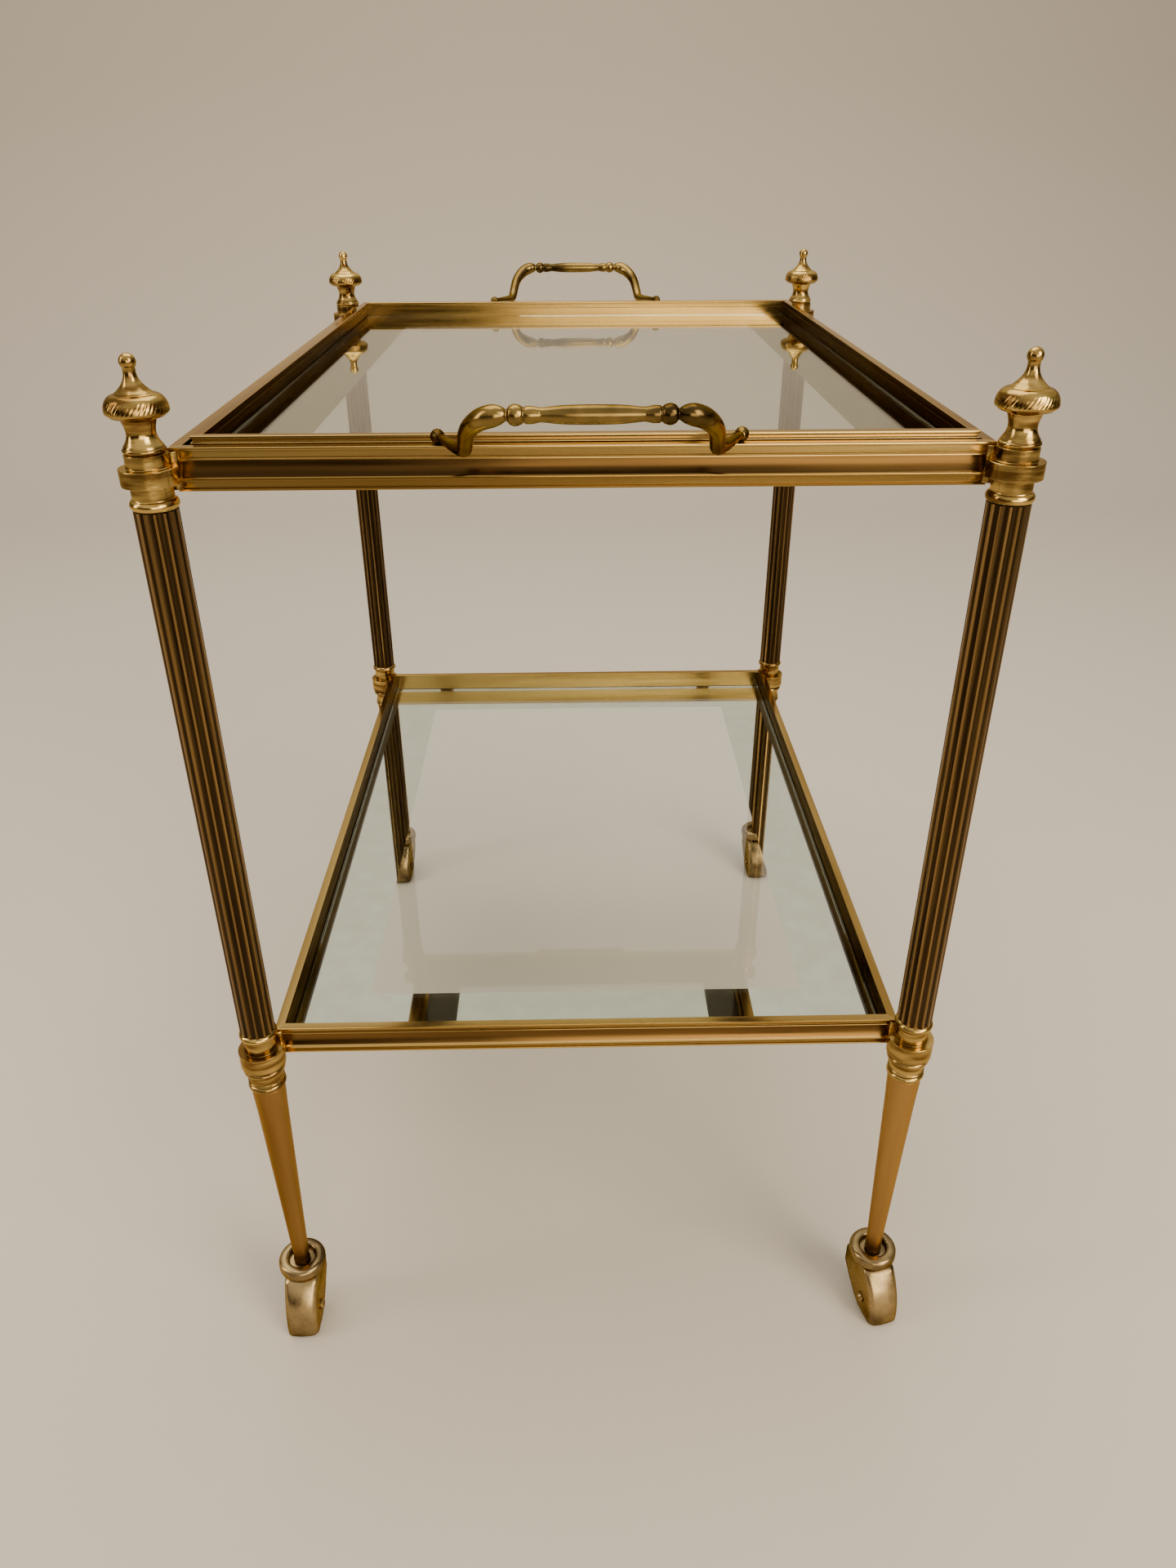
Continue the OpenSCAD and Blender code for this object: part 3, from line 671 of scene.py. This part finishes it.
# %% Collars and legs
upper_collar_outline = (
    [(0, 0), (8.6, 0)] + bead(0, 5.4, 11.4)[1:-1] + [(9.7, 5.5), (9.7, 11.6)]
    + [(13.3, 11.6), (13.3, 19.5), (9.7, 19.5), (9.7, 25.7), (0, 25.7)]
)
lower_collar_outline = (
    [(0, 0)] + bead(0, 4.6, 11.6) + [(10.5, 4.8), (10.5, 5.6)] + bead(5.6, 6.6, 11.2, 4)
    + [(10.5, 6.8), (10.5, 12.3)] + bead(12.5, 17.1, 12.8) + [(11.7, 17.3), (11.7, 18.4)]
    + [(13.7, 18.4), (13.7, 30), (9.7, 30), (9.7, 39.3)] + bead(39.3, 44.6, 11.4)[1:] + [(0, 44.6)]
)
leg_height = (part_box("leg_fl")[1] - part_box("leg_fl")[0]).z / MM
SPIGOT = 3.9
leg_outline = [
    (0, 0), (4.35, 0), (4.35, SPIGOT), (5.45, SPIGOT), (5.65, SPIGOT + 0.6), (5.45, SPIGOT + 1.4),
    (5.15, SPIGOT + 2), (9.6, leg_height - 18), (10.0, leg_height - 10), (10.2, leg_height - 5),
    (10.3, leg_height), (0, leg_height),
]
post_parts = (
    ("upper_collar", upper_collar_outline, turned_brass, 0.35),
    ("lower_collar", lower_collar_outline, turned_brass, 0.35),
    ("leg", leg_outline, drawn, 0.15),
)
for corner in CORNERS:
    for part, outline, metal, edge_round in post_parts:
        bm = lathe(outline)
        stand(bm, corner, f"{part}_{corner}")
        set_down(
            bm, f"turned_{part}_{corner}", "frame", metal, f"{part}_{corner}",
            edge_round=edge_round,
        )
print("leg height", round(leg_height, 1), "mm")

# %% [markdown]
# ## Fluted columns
# A column's section is fourteen shallow hollows with a narrow flat ridge between them. One hollow
# and ridge are drawn as an arc, turned round the axis fourteen times, and the closed outline is
# drawn up to the column's length. Each point keeps how deep it lies, from 0 on a ridge to 1 in a
# hollow, for the finish to darken it by: painted shade in the hollows, with some patina.

# %% Columns
FLUTES = 14
FLUTE_STEPS = 10
COLUMN_R = 10.4
FLUTE_R = 2.1
FLUTE_DEPTH = 1.1
FLUTE_AXIS = COLUMN_R - FLUTE_DEPTH + FLUTE_R
pitch_angle = 2 * math.pi / FLUTES
cos_half = (COLUMN_R**2 + FLUTE_AXIS**2 - FLUTE_R**2) / (2 * COLUMN_R * FLUTE_AXIS)
half_open = math.acos(cos_half)
half_ridge = pitch_angle / 2 - half_open
edge_turn = math.atan2(COLUMN_R * math.sin(half_open), FLUTE_AXIS - COLUMN_R * math.cos(half_open))
hollow_turns = [edge_turn * (1 - 2 * i / FLUTE_STEPS) for i in range(FLUTE_STEPS + 1)]
ridge_turns = [half_open + half_ridge * share for share in (0.25, 1, 1.75, 2)]
flute_outline = [
    (FLUTE_AXIS - FLUTE_R * math.cos(a), -FLUTE_R * math.sin(a)) for a in hollow_turns
] + [(COLUMN_R * math.cos(a), COLUMN_R * math.sin(a)) for a in ridge_turns]

for corner in CORNERS:
    low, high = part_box(f"column_{corner}")
    bm = bmesh.new()
    verts = [bm.verts.new((x * MM, y * MM, 0)) for x, y in flute_outline]
    edges = [bm.edges.new(pair) for pair in zip(verts, verts[1:])]
    bmesh.ops.rotate(
        bm, verts=verts, cent=(0, 0, 0), matrix=Matrix.Rotation(pitch_angle / 2, 3, "Z")
    )
    bmesh.ops.spin(
        bm, geom=verts + edges, cent=(0, 0, 0), axis=(0, 0, 1), angle=2 * math.pi, steps=FLUTES,
        use_merge=False, use_duplicate=True,
    )
    bmesh.ops.remove_doubles(bm, verts=bm.verts, dist=MERGE)
    cap = bmesh.ops.contextual_create(bm, geom=bm.edges[:])["faces"]
    grown = bmesh.ops.extrude_face_region(bm, geom=cap)
    bmesh.ops.translate(bm, verts=new_verts(grown), vec=(0, 0, high.z - low.z))
    depth = bm.verts.layers.float.new("flute_depth")
    for vertex in bm.verts:
        sunk = COLUMN_R * MM - math.hypot(vertex.co.x, vertex.co.y)
        vertex[depth] = min(1.0, sunk / (FLUTE_DEPTH * MM))
    axis = post_axis(corner)
    bmesh.ops.translate(bm, verts=bm.verts, vec=(axis.x, axis.y, low.z))
    set_down(
        bm, f"fluted_column_{corner}", "frame", fluted, f"column_{corner}",
        edge_round=0, crease=30,
    )
print("flute opening", round(2 * COLUMN_R * math.sin(half_open), 2), "mm")

# %% [markdown]
# ## Mitred mouldings
# Rails and tray rims are lengths of brass moulding, cut at 45 degrees and brazed at the
# corners. A section is drawn up the bar's length, then each end is sheared: a point moves
# back along the bar by its own depth behind the face, which is exactly a mitre.

# %% Moulding helpers
WALL_METAL, COVE_METAL = 1, 2
UPRIGHT = 0.85
COVE_DEPTH = 3.3


def below(top, points):
    """Section points given as depth and distance below the top, as depth and height."""
    return [(depth, top - down) for depth, down in points]


def moulding(section, side, half_x, half_y, foot, wall_depth, shift=0.0, cove=(0, 0)):
    """A mitred bar on one side of a rectangular frame. Section points are depth and height. The
    upright faces of the side bars that lie deeper than a wall depth get the darker wall brass, and
    the cove is the range of heights where the hollow of the outer face gets some tarnish and a
    painted dark reflection."""
    is_side_bar = side % 2 == 1
    length, reach = (2 * half_y, half_x) if is_side_bar else (2 * half_x, half_y)
    bm = bmesh.new()
    verts = [bm.verts.new((-length / 2, depth * MM, height * MM)) for depth, height in section]
    edges = [bm.edges.new(pair) for pair in zip(verts, verts[1:] + verts[:1])]
    end = bmesh.ops.contextual_create(bm, geom=edges)["faces"]
    grown = bmesh.ops.extrude_face_region(bm, geom=end)
    bmesh.ops.translate(bm, verts=new_verts(grown), vec=(length, 0, 0))
    for face in bm.faces:
        face.normal_update()
        middle = face.calc_center_median() / MM
        if abs(face.normal.y) > UPRIGHT:
            if is_side_bar and middle.y > wall_depth:
                face.material_index = WALL_METAL
            elif middle.y < COVE_DEPTH and cove[0] < middle.z < cove[1]:
                face.material_index = COVE_METAL
    for vertex in bm.verts:
        vertex.co.x -= math.copysign(vertex.co.y, vertex.co.x)
    bmesh.ops.translate(bm, verts=bm.verts, vec=(0, -reach, 0))
    bmesh.ops.rotate(
        bm, verts=bm.verts, cent=(0, 0, 0), matrix=Matrix.Rotation(math.pi / 2 * side, 3, "Z")
    )
    bmesh.ops.translate(bm, verts=bm.verts, vec=(shift, 0, foot))
    return bm


# %% [markdown]
# A rail has a thin lip at its top, a cove down its face and a ledge inwards at its foot, which
# carries the shelf or the tray. The two frames are the same.

# %% Rails
RAIL_HEIGHT = 20.6
LIP_HEIGHT = 1.6
FACE_DEPTH = 3.5
# The cove band's darker brass is some tarnish and a painted dark reflection.
COVE_BAND = (6.6, 14)
RAIL_WALL_DEPTH = 5.0
rail_top = [
    (0.5, 0), (0.16, 0.12), (0, 0.5), (0, 1.1), (0.16, 1.48), (0.5, LIP_HEIGHT),
    (FACE_DEPTH, LIP_HEIGHT), (FACE_DEPTH, 5.4), (2.5, 5.4), (2.3, 5.55), (2.3, 5.85), (2.5, 6),
    (3.1, 6.2),
]
rail_section = (
    below(RAIL_HEIGHT, rail_top)
    + [(3, 13.9)] + curve((3, 13.9), (1, 6.6), 10, slow_start)
    + [(0.6, 6.25), (0.5, 6.0), (0.5, 5.0), (0.6, 4.8), (FACE_DEPTH, 4.8), (FACE_DEPTH, 1)]
    + [(1.8, 1), (1.8, 0), (12, 0), (12, 1.5), (5.5, 1.5), (5.5, RAIL_HEIGHT)]
)
frame_half_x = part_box("lower_rail_right")[1].x
frame_half_y = -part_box("lower_rail_front")[0].y
for tier in ("upper", "lower"):
    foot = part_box(f"{tier}_rail_right")[0].z
    for side, word in enumerate(SIDES):
        way = "xy"[side % 2]
        bm = moulding(
            rail_section, side, frame_half_x, frame_half_y, foot, RAIL_WALL_DEPTH, cove=COVE_BAND
        )
        set_down(
            bm, f"moulded_{tier}_rail_{word}", "frame",
            [polished[way], dark_side_wall, cove_tarnish_and_painted_dark[way]], f"{tier}_rail_{word}",
            edge_round=0.12, crease=28,
        )
frame_size = [round(2 * half / MM, 1) for half in (frame_half_x, frame_half_y)]
print("frame over the lips", frame_size, "mm")

# %% [markdown]
# ## Brazed corners
# Where a frame's corner meets its collar, the gap between two straight rails and a round drum
# is filled with brass that has run in. A short rod on the line from the corner to the post is
# enough, because only a sliver of it shows. The CAD model has no such run.

# %% Brazed corners
BRAZE_R = 3.1
BRAZE_FOOT = 1.5
BRAZE_PROUD = 0.4
BRAZE_STEPS = 32
braze_top = RAIL_HEIGHT - LIP_HEIGHT
braze_outline = [(0, BRAZE_FOOT), (BRAZE_R, BRAZE_FOOT), (BRAZE_R, braze_top), (0, braze_top)]
for tier in ("upper", "lower"):
    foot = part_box(f"{tier}_rail_right")[0].z
    for corner in CORNERS:
        axis = post_axis(corner)
        face_corner = Vector((
            math.copysign(frame_half_x - FACE_DEPTH * MM, axis.x),
            math.copysign(frame_half_y - FACE_DEPTH * MM, axis.y),
            0,
        ))
        inward = (face_corner - Vector((axis.x, axis.y, 0))).normalized()
        place = face_corner - inward * (BRAZE_R - BRAZE_PROUD) * MM
        bm = lathe(braze_outline, steps=BRAZE_STEPS)
        bmesh.ops.translate(bm, verts=bm.verts, vec=(place.x, place.y, foot))
        set_down(
            bm, f"brazed_corner_{tier}_{corner}", "frame", turned_brass, None,
            edge_round=0.3,
        )
print("braze", round(braze_top - BRAZE_FOOT, 1), "mm high")

# %% [markdown]
# ## Tray rim
# The tray's rim is a second moulding of the same make. It has a bead and a groove below its
# top edge and an inner ledge for the glass, and stands loose on the upper rails' ledge, so it
# rides on the tray's body.

# %% Tray rim
RIM_WALL_DEPTH = 2.4
rim_low, rim_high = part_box("tray_rim_front")
tray_shift = (rim_low.x + rim_high.x) / 2
rim_half_x = (rim_high.x - rim_low.x) / 2
rim_half_y = -rim_low.y
rim_top = [
    (3, 16.6), (9.5, 16.6), (9.5, 15), (3, 15), (3, 5.2), (2.6, 5.2), (2.6, 1.5), (4.8, 1.5),
    (4.8, 0.3), (4.5, 0), (0.4, 0), (0.12, 0.12), (0, 0.4), (0, 1.2), (0.3, 1.5), (0.9, 1.6),
    (0.9, 2.8), (0.2, 3), (0, 3.3), (0, 3.6), (0.5, 3.9),
]
rim_section = [(0.5, 0), (3, 0)] + below((rim_high.z - rim_low.z) / MM, rim_top)
for side, word in enumerate(SIDES):
    bm = moulding(
        rim_section, side, rim_half_x, rim_half_y, rim_low.z, RIM_WALL_DEPTH, shift=tray_shift
    )
    set_down(
        bm, f"moulded_tray_rim_{word}", "tray",
        [polished["xy"[side % 2]], dark_side_wall], f"tray_rim_{word}", edge_round=0.12, crease=28,
    )
tray_size = [round(2 * half / MM, 1) for half in (rim_half_x, rim_half_y)]
print("tray over the rim", tray_size, "mm")

# %% [markdown]
# ## Glass panes
# A pane is a cube scaled to size with its edges ground. Its silvering is a film in the lower
# skin of the glass: a thin slab with a clear middle cut by two insets, bright above where it
# faces the glass, and dark below where the backing paint is.

# %% Panes
GROUND_EDGE = 0.3
FILM = 0.1
FILM_RISE = 0.05
FILM_MARGIN = 0.4
FIRST_INSET = 20


def slab(low, high):
    """A box between two corners."""
    bm = bmesh.new()
    bmesh.ops.create_cube(bm, size=1)
    bmesh.ops.scale(bm, verts=bm.verts, vec=high - low)
    bmesh.ops.translate(bm, verts=bm.verts, vec=(low + high) / 2)
    return bm


def pane(name, node, body, border_x, border_y):
    """A glass pane with a silvered border below, of the given widths in millimetres."""
    low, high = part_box(node)
    bm = slab(low, high)
    bmesh.ops.bevel(
        bm, geom=bm.edges[:], offset=GROUND_EDGE * MM, affect="EDGES", segments=2, profile=0.5,
        material=-1,
    )
    set_down(bm, name, body, glass, node, edge_round=0, crease=5)

    margin = Vector((FILM_MARGIN, FILM_MARGIN, 0)) * MM
    film_low = Vector((low.x, low.y, low.z + FILM_RISE * MM)) + margin
    film_high = Vector((high.x, high.y, low.z + (FILM_RISE + FILM) * MM)) - margin
    bm = slab(film_low, film_high)
    middle = (low + high) / 2
    inner = (high - low) / 2 - Vector((border_x, border_y, 0)) * MM
    openings = [f for f in bm.faces if round(abs(f.normal.z)) == 1]
    for face in openings:
        face.material_index = 0 if face.normal.z > 0 else 1
        # The inset makes the border's faces, and its inner corners then move to the real width.
        bmesh.ops.inset_individual(bm, faces=[face], thickness=FIRST_INSET * MM)
        for vertex in face.verts:
            vertex.co.x = middle.x + math.copysign(inner.x, vertex.co.x - middle.x)
            vertex.co.y = middle.y + math.copysign(inner.y, vertex.co.y - middle.y)
    rims = [e for f in openings for e in f.edges]
    bmesh.ops.delete(bm, geom=openings, context="FACES_ONLY")
    bmesh.ops.bridge_loops(bm, edges=rims)
    set_down(
        bm, name + "_silvering", body, [silver, backing], node, edge_round=0, crease=5
    )
    print(name, "clear middle", [round(2 * v / MM, 1) for v in inner[:2]], "mm")


pane("shelf_pane", "shelf_glass", "frame", 44, 46)
pane("tray_pane", "tray_glass", "tray", 41, 41)

# %% [markdown]
# ## Handles
# Each handle is one casting: ball ends against the rim, thin arms out to an elbow, a leg up
# to a shoulder, a knuckle and a grip that swells in the middle. The cell below lists half of
# its path, from one ball end to the grip: along X, out from the rim, up, and the bar's radius
# there. The other half is its mirror image.

# %% Handle path
HANDLE_LEAN = math.radians(57.6)
ELBOW_OUT, ELBOW_UP, GRIP_V = 28.3, -1.2, 41.6
END_X = -70.7


def up_slope(x, v, r):
    """A point of the leaning plane: along X, up the slope from the elbow, and a radius."""
    return (x, ELBOW_OUT + v * math.sin(HANDLE_LEAN), ELBOW_UP + v * math.cos(HANDLE_LEAN), r)


half_bar = [
    (END_X, 0, 0, 1.8), (END_X, 1, 0, 1.8), (END_X, 1.7, 0, 2.6), (END_X, 4.1, 0, 3.4),
    (END_X + 0.8, 6.4, 0, 2.5), (END_X + 1.4, 7.4, 0, 1.9),
    (END_X + 3.8, 11.6, -0.2, 2.0), (END_X + 7.2, 17.6, -0.7, 2.5), (END_X + 11, 23.8, -1, 3.0),
] + [
    up_slope(END_X + x, v, r)
    for x, v, r in (
        (14.2, 2, 3.4), (15.3, 8, 3.5), (16.2, 15, 3.6), (17.6, 23.5, 3.8), (20.6, 31.3, 4.2),
        (24.8, 37.6, 4.6), (29.4, 40.9, 4.6), (32.9, GRIP_V, 3.7), (34.9, GRIP_V, 2.5),
        (35.6, GRIP_V, 2.5), (36.6, GRIP_V, 3.7), (38.9, GRIP_V, 4.4), (41.2, GRIP_V, 3.8),
        (42.3, GRIP_V, 3.0), (43.2, GRIP_V, 3.5), (45.6, GRIP_V, 3.6), (48.4, GRIP_V, 3.1),
        (50.4, GRIP_V, 3.0), (-END_X * 0.86, GRIP_V, 3.9),
    )
]
bar = half_bar + [(-x, y, z, r) for x, y, z, r in reversed(half_bar)]
print("handle stands out", round(max(y for x, y, z, r in bar), 1), "mm, in", len(bar), "points")

# %% [markdown]
# A ring of points is extruded from step to step along a smooth curve through the path. At
# each step it is turned square to the path by the least turn that does it, so the bar never
# twists, and scaled to the radius there.

# %% Handles
PATH_STEPS = 6
BAR_SIDES = 28


def smooth_path(points, steps):
    """A Catmull-Rom curve through the points, with so many steps from each to the next."""
    made = []
    last = len(points) - 1
    for i in range(last):
        a, b, c, d = (Vector(points[k]) for k in (max(i - 1, 0), i, i + 1, min(i + 2, last)))
        for k in range(steps):
            t = k / steps
            made.append(
                0.5 * (2 * b + (c - a) * t + (2 * a - 5 * b + 4 * c - d) * t**2
                       + (3 * b - a - 3 * c + d) * t**3)
            )
    return made + [Vector(points[last])]


def swept_bar(path):
    """A closed round bar along points that carry their radius as a fourth number."""
    centres = [p.to_3d() for p in path]
    bm = bmesh.new()
    bmesh.ops.create_circle(bm, segments=BAR_SIDES, radius=1, cap_ends=False)
    ring = [v.co.copy() for v in bm.verts]
    verts = bm.verts[:]
    first = edges = bm.edges[:]
    heading = (centres[1] - centres[0]).normalized()
    square = Vector((0, 0, 1)).rotation_difference(heading).to_matrix()
    for i, centre in enumerate(centres):
        ahead = centres[min(i + 1, len(centres) - 1)] - centres[max(i - 1, 0)]
        square = heading.rotation_difference(ahead).to_matrix() @ square
        heading = ahead.normalized()
        if i:
            grown = bmesh.ops.extrude_edge_only(bm, edges=edges)
            # A copied point starts where its old one is, which tells the new ring's order.
            pairs = {v.co.copy().freeze(): v for v in new_verts(grown)}
            verts = [pairs[v.co.copy().freeze()] for v in verts]
            edges = [bm.edges.get(pair) for pair in zip(verts, verts[1:] + verts[:1])]
        for vertex, spot in zip(verts, ring):
            vertex.co = centre + square @ (spot * path[i].w)
    bmesh.ops.contextual_create(bm, geom=first)
    bmesh.ops.contextual_create(bm, geom=edges)
    return bm


def cast_handle(name, node, out_sign):
    """Sweeps the bar, and sets it on the tray's end where its CAD node is."""
    low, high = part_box(node)
    middle = (low.x + high.x) / 2
    path = [
        Vector((
            middle + x * MM, out_sign * (rim_half_y + out * MM), rim_high.z + up * MM, radius * MM,
        ))
        for x, out, up, radius in smooth_path(bar, PATH_STEPS)
    ]
    bm = swept_bar(path)
    print(name, len(bm.faces), "faces")
    set_down(bm, name, "tray", bronzed, node, edge_round=0, crease=60)


cast_handle("cast_handle_front", "handle_front", -1)
cast_handle("cast_handle_back", "handle_back", 1)

# %% [markdown]
# ## Caster cups
# A fat rounded cup takes the leg. It is lathe work: two quarter rounds make its outer wall,
# and a third the dip in its top, where the leg's spigot stands.

# %% Cups
cup_outline = (
    [(0, 0)] + arc(12.8, 3.2, 3.2, -90, 0, 8) + arc(12.8, 6.0, 3.2, 0, 90, 8)
    + arc(11.3, 6.7, 2.5, 90, 180, 6) + [(8.8, 5.4), (6.35, 5.4), (4.38, 5.4), (4.38, 3), (0, 3)]
)
for corner in CORNERS:
    bm = lathe(cup_outline)
    stand(bm, corner, f"caster_cup_{corner}")
    set_down(
        bm, f"turned_cup_{corner}", "frame", antique, f"caster_cup_{corner}",
        edge_round=0.2,
    )
print("cup", 2 * max(r for r, z in cup_outline), "mm across")

# %% [markdown]
# ## Caster hoods
# Under the cup a cast hood swivels and carries the wheel between its cheeks. It is one bent
# plate: its outline in plan, cheeks, rounded corners and crowned front, is extruded from level
# to level, leaning back with the arc of the front and drawn in at the rounded top, and then
# given a thickness.

# %% Hood outline
ARC_R, ARC_Y, ARC_Z, CROWN_R = 50, 20.85, 4, 39.3
HOOD_TOP, TOP_ROUND, SIDE_ROUND = 40.2, 2.6, 3.4
HOOD_FRONT, HOOD_BACK = -29.15, 12.5
FRONT_WIDTH, SPLAY = 20.8, 3.8
HEM = [(2.2, -17), (3.3, -10), (7.1, -4), (13.9, 3.5), (24.5, HOOD_BACK), (HOOD_TOP, HOOD_BACK)]
CHEEK_STEPS, ROUND_STEPS, FRONT_STEPS = 10, 8, 5


def cheek(y):
    """Half the hood's width at a place along it: the cheeks splay towards the open back."""
    return (FRONT_WIDTH + SPLAY * (y - HOOD_FRONT) / (HOOD_BACK - HOOD_FRONT)) / 2


def hem(height):
    """How far back a cheek reaches at a height."""
    for (z0, y0), (z1, y1) in zip(HEM, HEM[1:]):
        if height <= z1:
            return y0 + (y1 - y0) * (height - z0) / (z1 - z0)
    return HEM[-1][1]


def hood_plan(height, inset):
    """The hood's outline at a height, from one cheek's back end round the crowned front."""
    front = ARC_Y - math.sqrt(ARC_R**2 - (height - ARC_Z) ** 2) + inset
    corner = front + SIDE_ROUND
    back = max(hem(height), corner + 0.5)
    side = cheek(corner) - inset
    along = [back + (corner - back) * i / CHEEK_STEPS for i in range(CHEEK_STEPS + 1)]
    half = [(cheek(y) - inset, y) for y in along]
    half += [
        (side - SIDE_ROUND * (1 - math.cos(a)), corner - SIDE_ROUND * math.sin(a))
        for a in quarter(ROUND_STEPS)
    ]
    shares = [i / FRONT_STEPS for i in range(1, FRONT_STEPS + 1)]
    half += [((side - SIDE_ROUND) * (1 - share), front) for share in shares]
    # The crown: the front falls back from its middle towards the cheeks.
    crown = [min(x, side - 1) ** 2 / (2 * CROWN_R) if y < corner + 0.01 else 0 for x, y in half]
    half = [(x, y + fall) for (x, y), fall in zip(half, crown)]
    return [(-x, y) for x, y in half] + [(x, y) for x, y in reversed(half[:-1])]


print("hood", round(2 * cheek(HOOD_BACK), 1), "mm wide at its back")

# %% [markdown]
# Each level is a height and how far the rounded top is drawn in there. A caster stands at its
# own angle in the photograph, so its hood is turned to the wheel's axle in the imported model.

# %% Hoods
PLATE = 1.3
TOP_STEPS = 6
straight_levels = (2.2, 3.3, 5, 7.1, 10.5, 13.9, 17.4, 21, 24.5, 28, 31.5, 35, HOOD_TOP - TOP_ROUND)
levels = [(z, 0) for z in straight_levels] + [
    (HOOD_TOP - TOP_ROUND * (1 - math.sin(a)), TOP_ROUND * (1 - math.cos(a)))
    for a in quarter(TOP_STEPS)
]


def wheel_joint(corner):
    """The joint on which a corner's wheel spins."""
    return next(joint for joint in frame["joints"] if joint["child"] == f"wheel_{corner}")


for corner in CORNERS:
    bm = bmesh.new()
    row = [bm.verts.new((x * MM, y * MM, levels[0][0] * MM)) for x, y in hood_plan(*levels[0])]
    edges = [bm.edges.new(pair) for pair in zip(row, row[1:])]
    for level in levels[1:]:
        grown = bmesh.ops.extrude_edge_only(bm, edges=edges)
        pairs = {v.co.copy().freeze(): v for v in new_verts(grown)}
        row = [pairs[v.co.copy().freeze()] for v in row]
        edges = [bm.edges.get(pair) for pair in zip(row, row[1:])]
        for vertex, (x, y) in zip(row, hood_plan(*level)):
            vertex.co = (x * MM, y * MM, level[0] * MM)
    bm.faces.new(row)
    axle = wheel_joint(corner)["axis"]
    turn = Matrix.Rotation(math.atan2(axle[1], axle[0]), 3, "Z")
    post = post_axis(corner)
    bmesh.ops.rotate(bm, verts=bm.verts, cent=(0, 0, 0), matrix=turn)
    bmesh.ops.translate(bm, verts=bm.verts, vec=(post.x, post.y, 0))
    piece = set_down(
        bm, f"cast_hood_{corner}", f"caster_{corner}", antique,
        f"caster_hood_{corner}", edge_round=0, crease=60,
    )
    plate = piece.modifiers.new("plate", "SOLIDIFY")
    plate.thickness = PLATE * MM
    plate.offset = -1
    # The plate comes before the flat faces, so that its edges are shaded too.
    piece.modifiers.move(1, 0)
print("hood plates of", PLATE, "mm, in", len(levels), "levels")

# %% [markdown]
# ## Caster wheels
# A wheel is turned from solid brass, with a tread that is rounded at both edges and a recess
# on each side that leaves a hub. Its outline is half drawn and then mirrored. It is spun round
# Z like the rest, and then turned to lie on its axle.

# %% Wheels
half_wheel = [
    (0, -8.9), (5, -8.9), (5, -6.6), (6.2, -6.5), (9.4, -6.5), (10, -6.5), (11, -8), (12.2, -8),
    (12.9, -7.5), (13.4, -6.6), (13.5, -5.8),
]
wheel_outline = half_wheel + [(r, -z) for r, z in reversed(half_wheel)]
for corner in CORNERS:
    joint = wheel_joint(corner)
    bm = lathe(wheel_outline)
    bmesh.ops.rotate(
        bm, verts=bm.verts, cent=(0, 0, 0),
        matrix=Vector((0, 0, 1)).rotation_difference(Vector(joint["axis"])).to_matrix(),
    )
    bmesh.ops.translate(bm, verts=bm.verts, vec=joint["pos_m"])
    set_down(
        bm, f"turned_wheel_{corner}", f"wheel_{corner}", wheel_metal,
        f"caster_wheel_{corner}", edge_round=0.2,
    )
print("wheel", 2 * max(r for r, z in wheel_outline), "mm across")

# %% [markdown]
# ## Parts that stay as the CAD made them
# The tie rods, kingpins and axles are plain pins, right as they are. They only get their
# metal.

# %% Pins
PIN_METALS = {"tie_rods": dark_steel, "caster_kingpin": dark_steel, "caster_axle": antique}
for name, node in frame["nodes"].items():
    for start, metal in PIN_METALS.items():
        if name.startswith(start):
            node.data.materials.clear()
            node.data.materials.append(metal)
            print(name, "in", metal.name)

# %% [markdown]
# ## Sizes
# The looks are not meant to change the size of the object, so the growth of its box over the CAD
# box is printed.

# %% Print the growth of the box
visual_low, visual_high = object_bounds()
growth = [round(v / MM, 2) for v in (*(cad_low - visual_low), *(visual_high - cad_high))]
print("grew in mm, low corner and high corner:", growth)
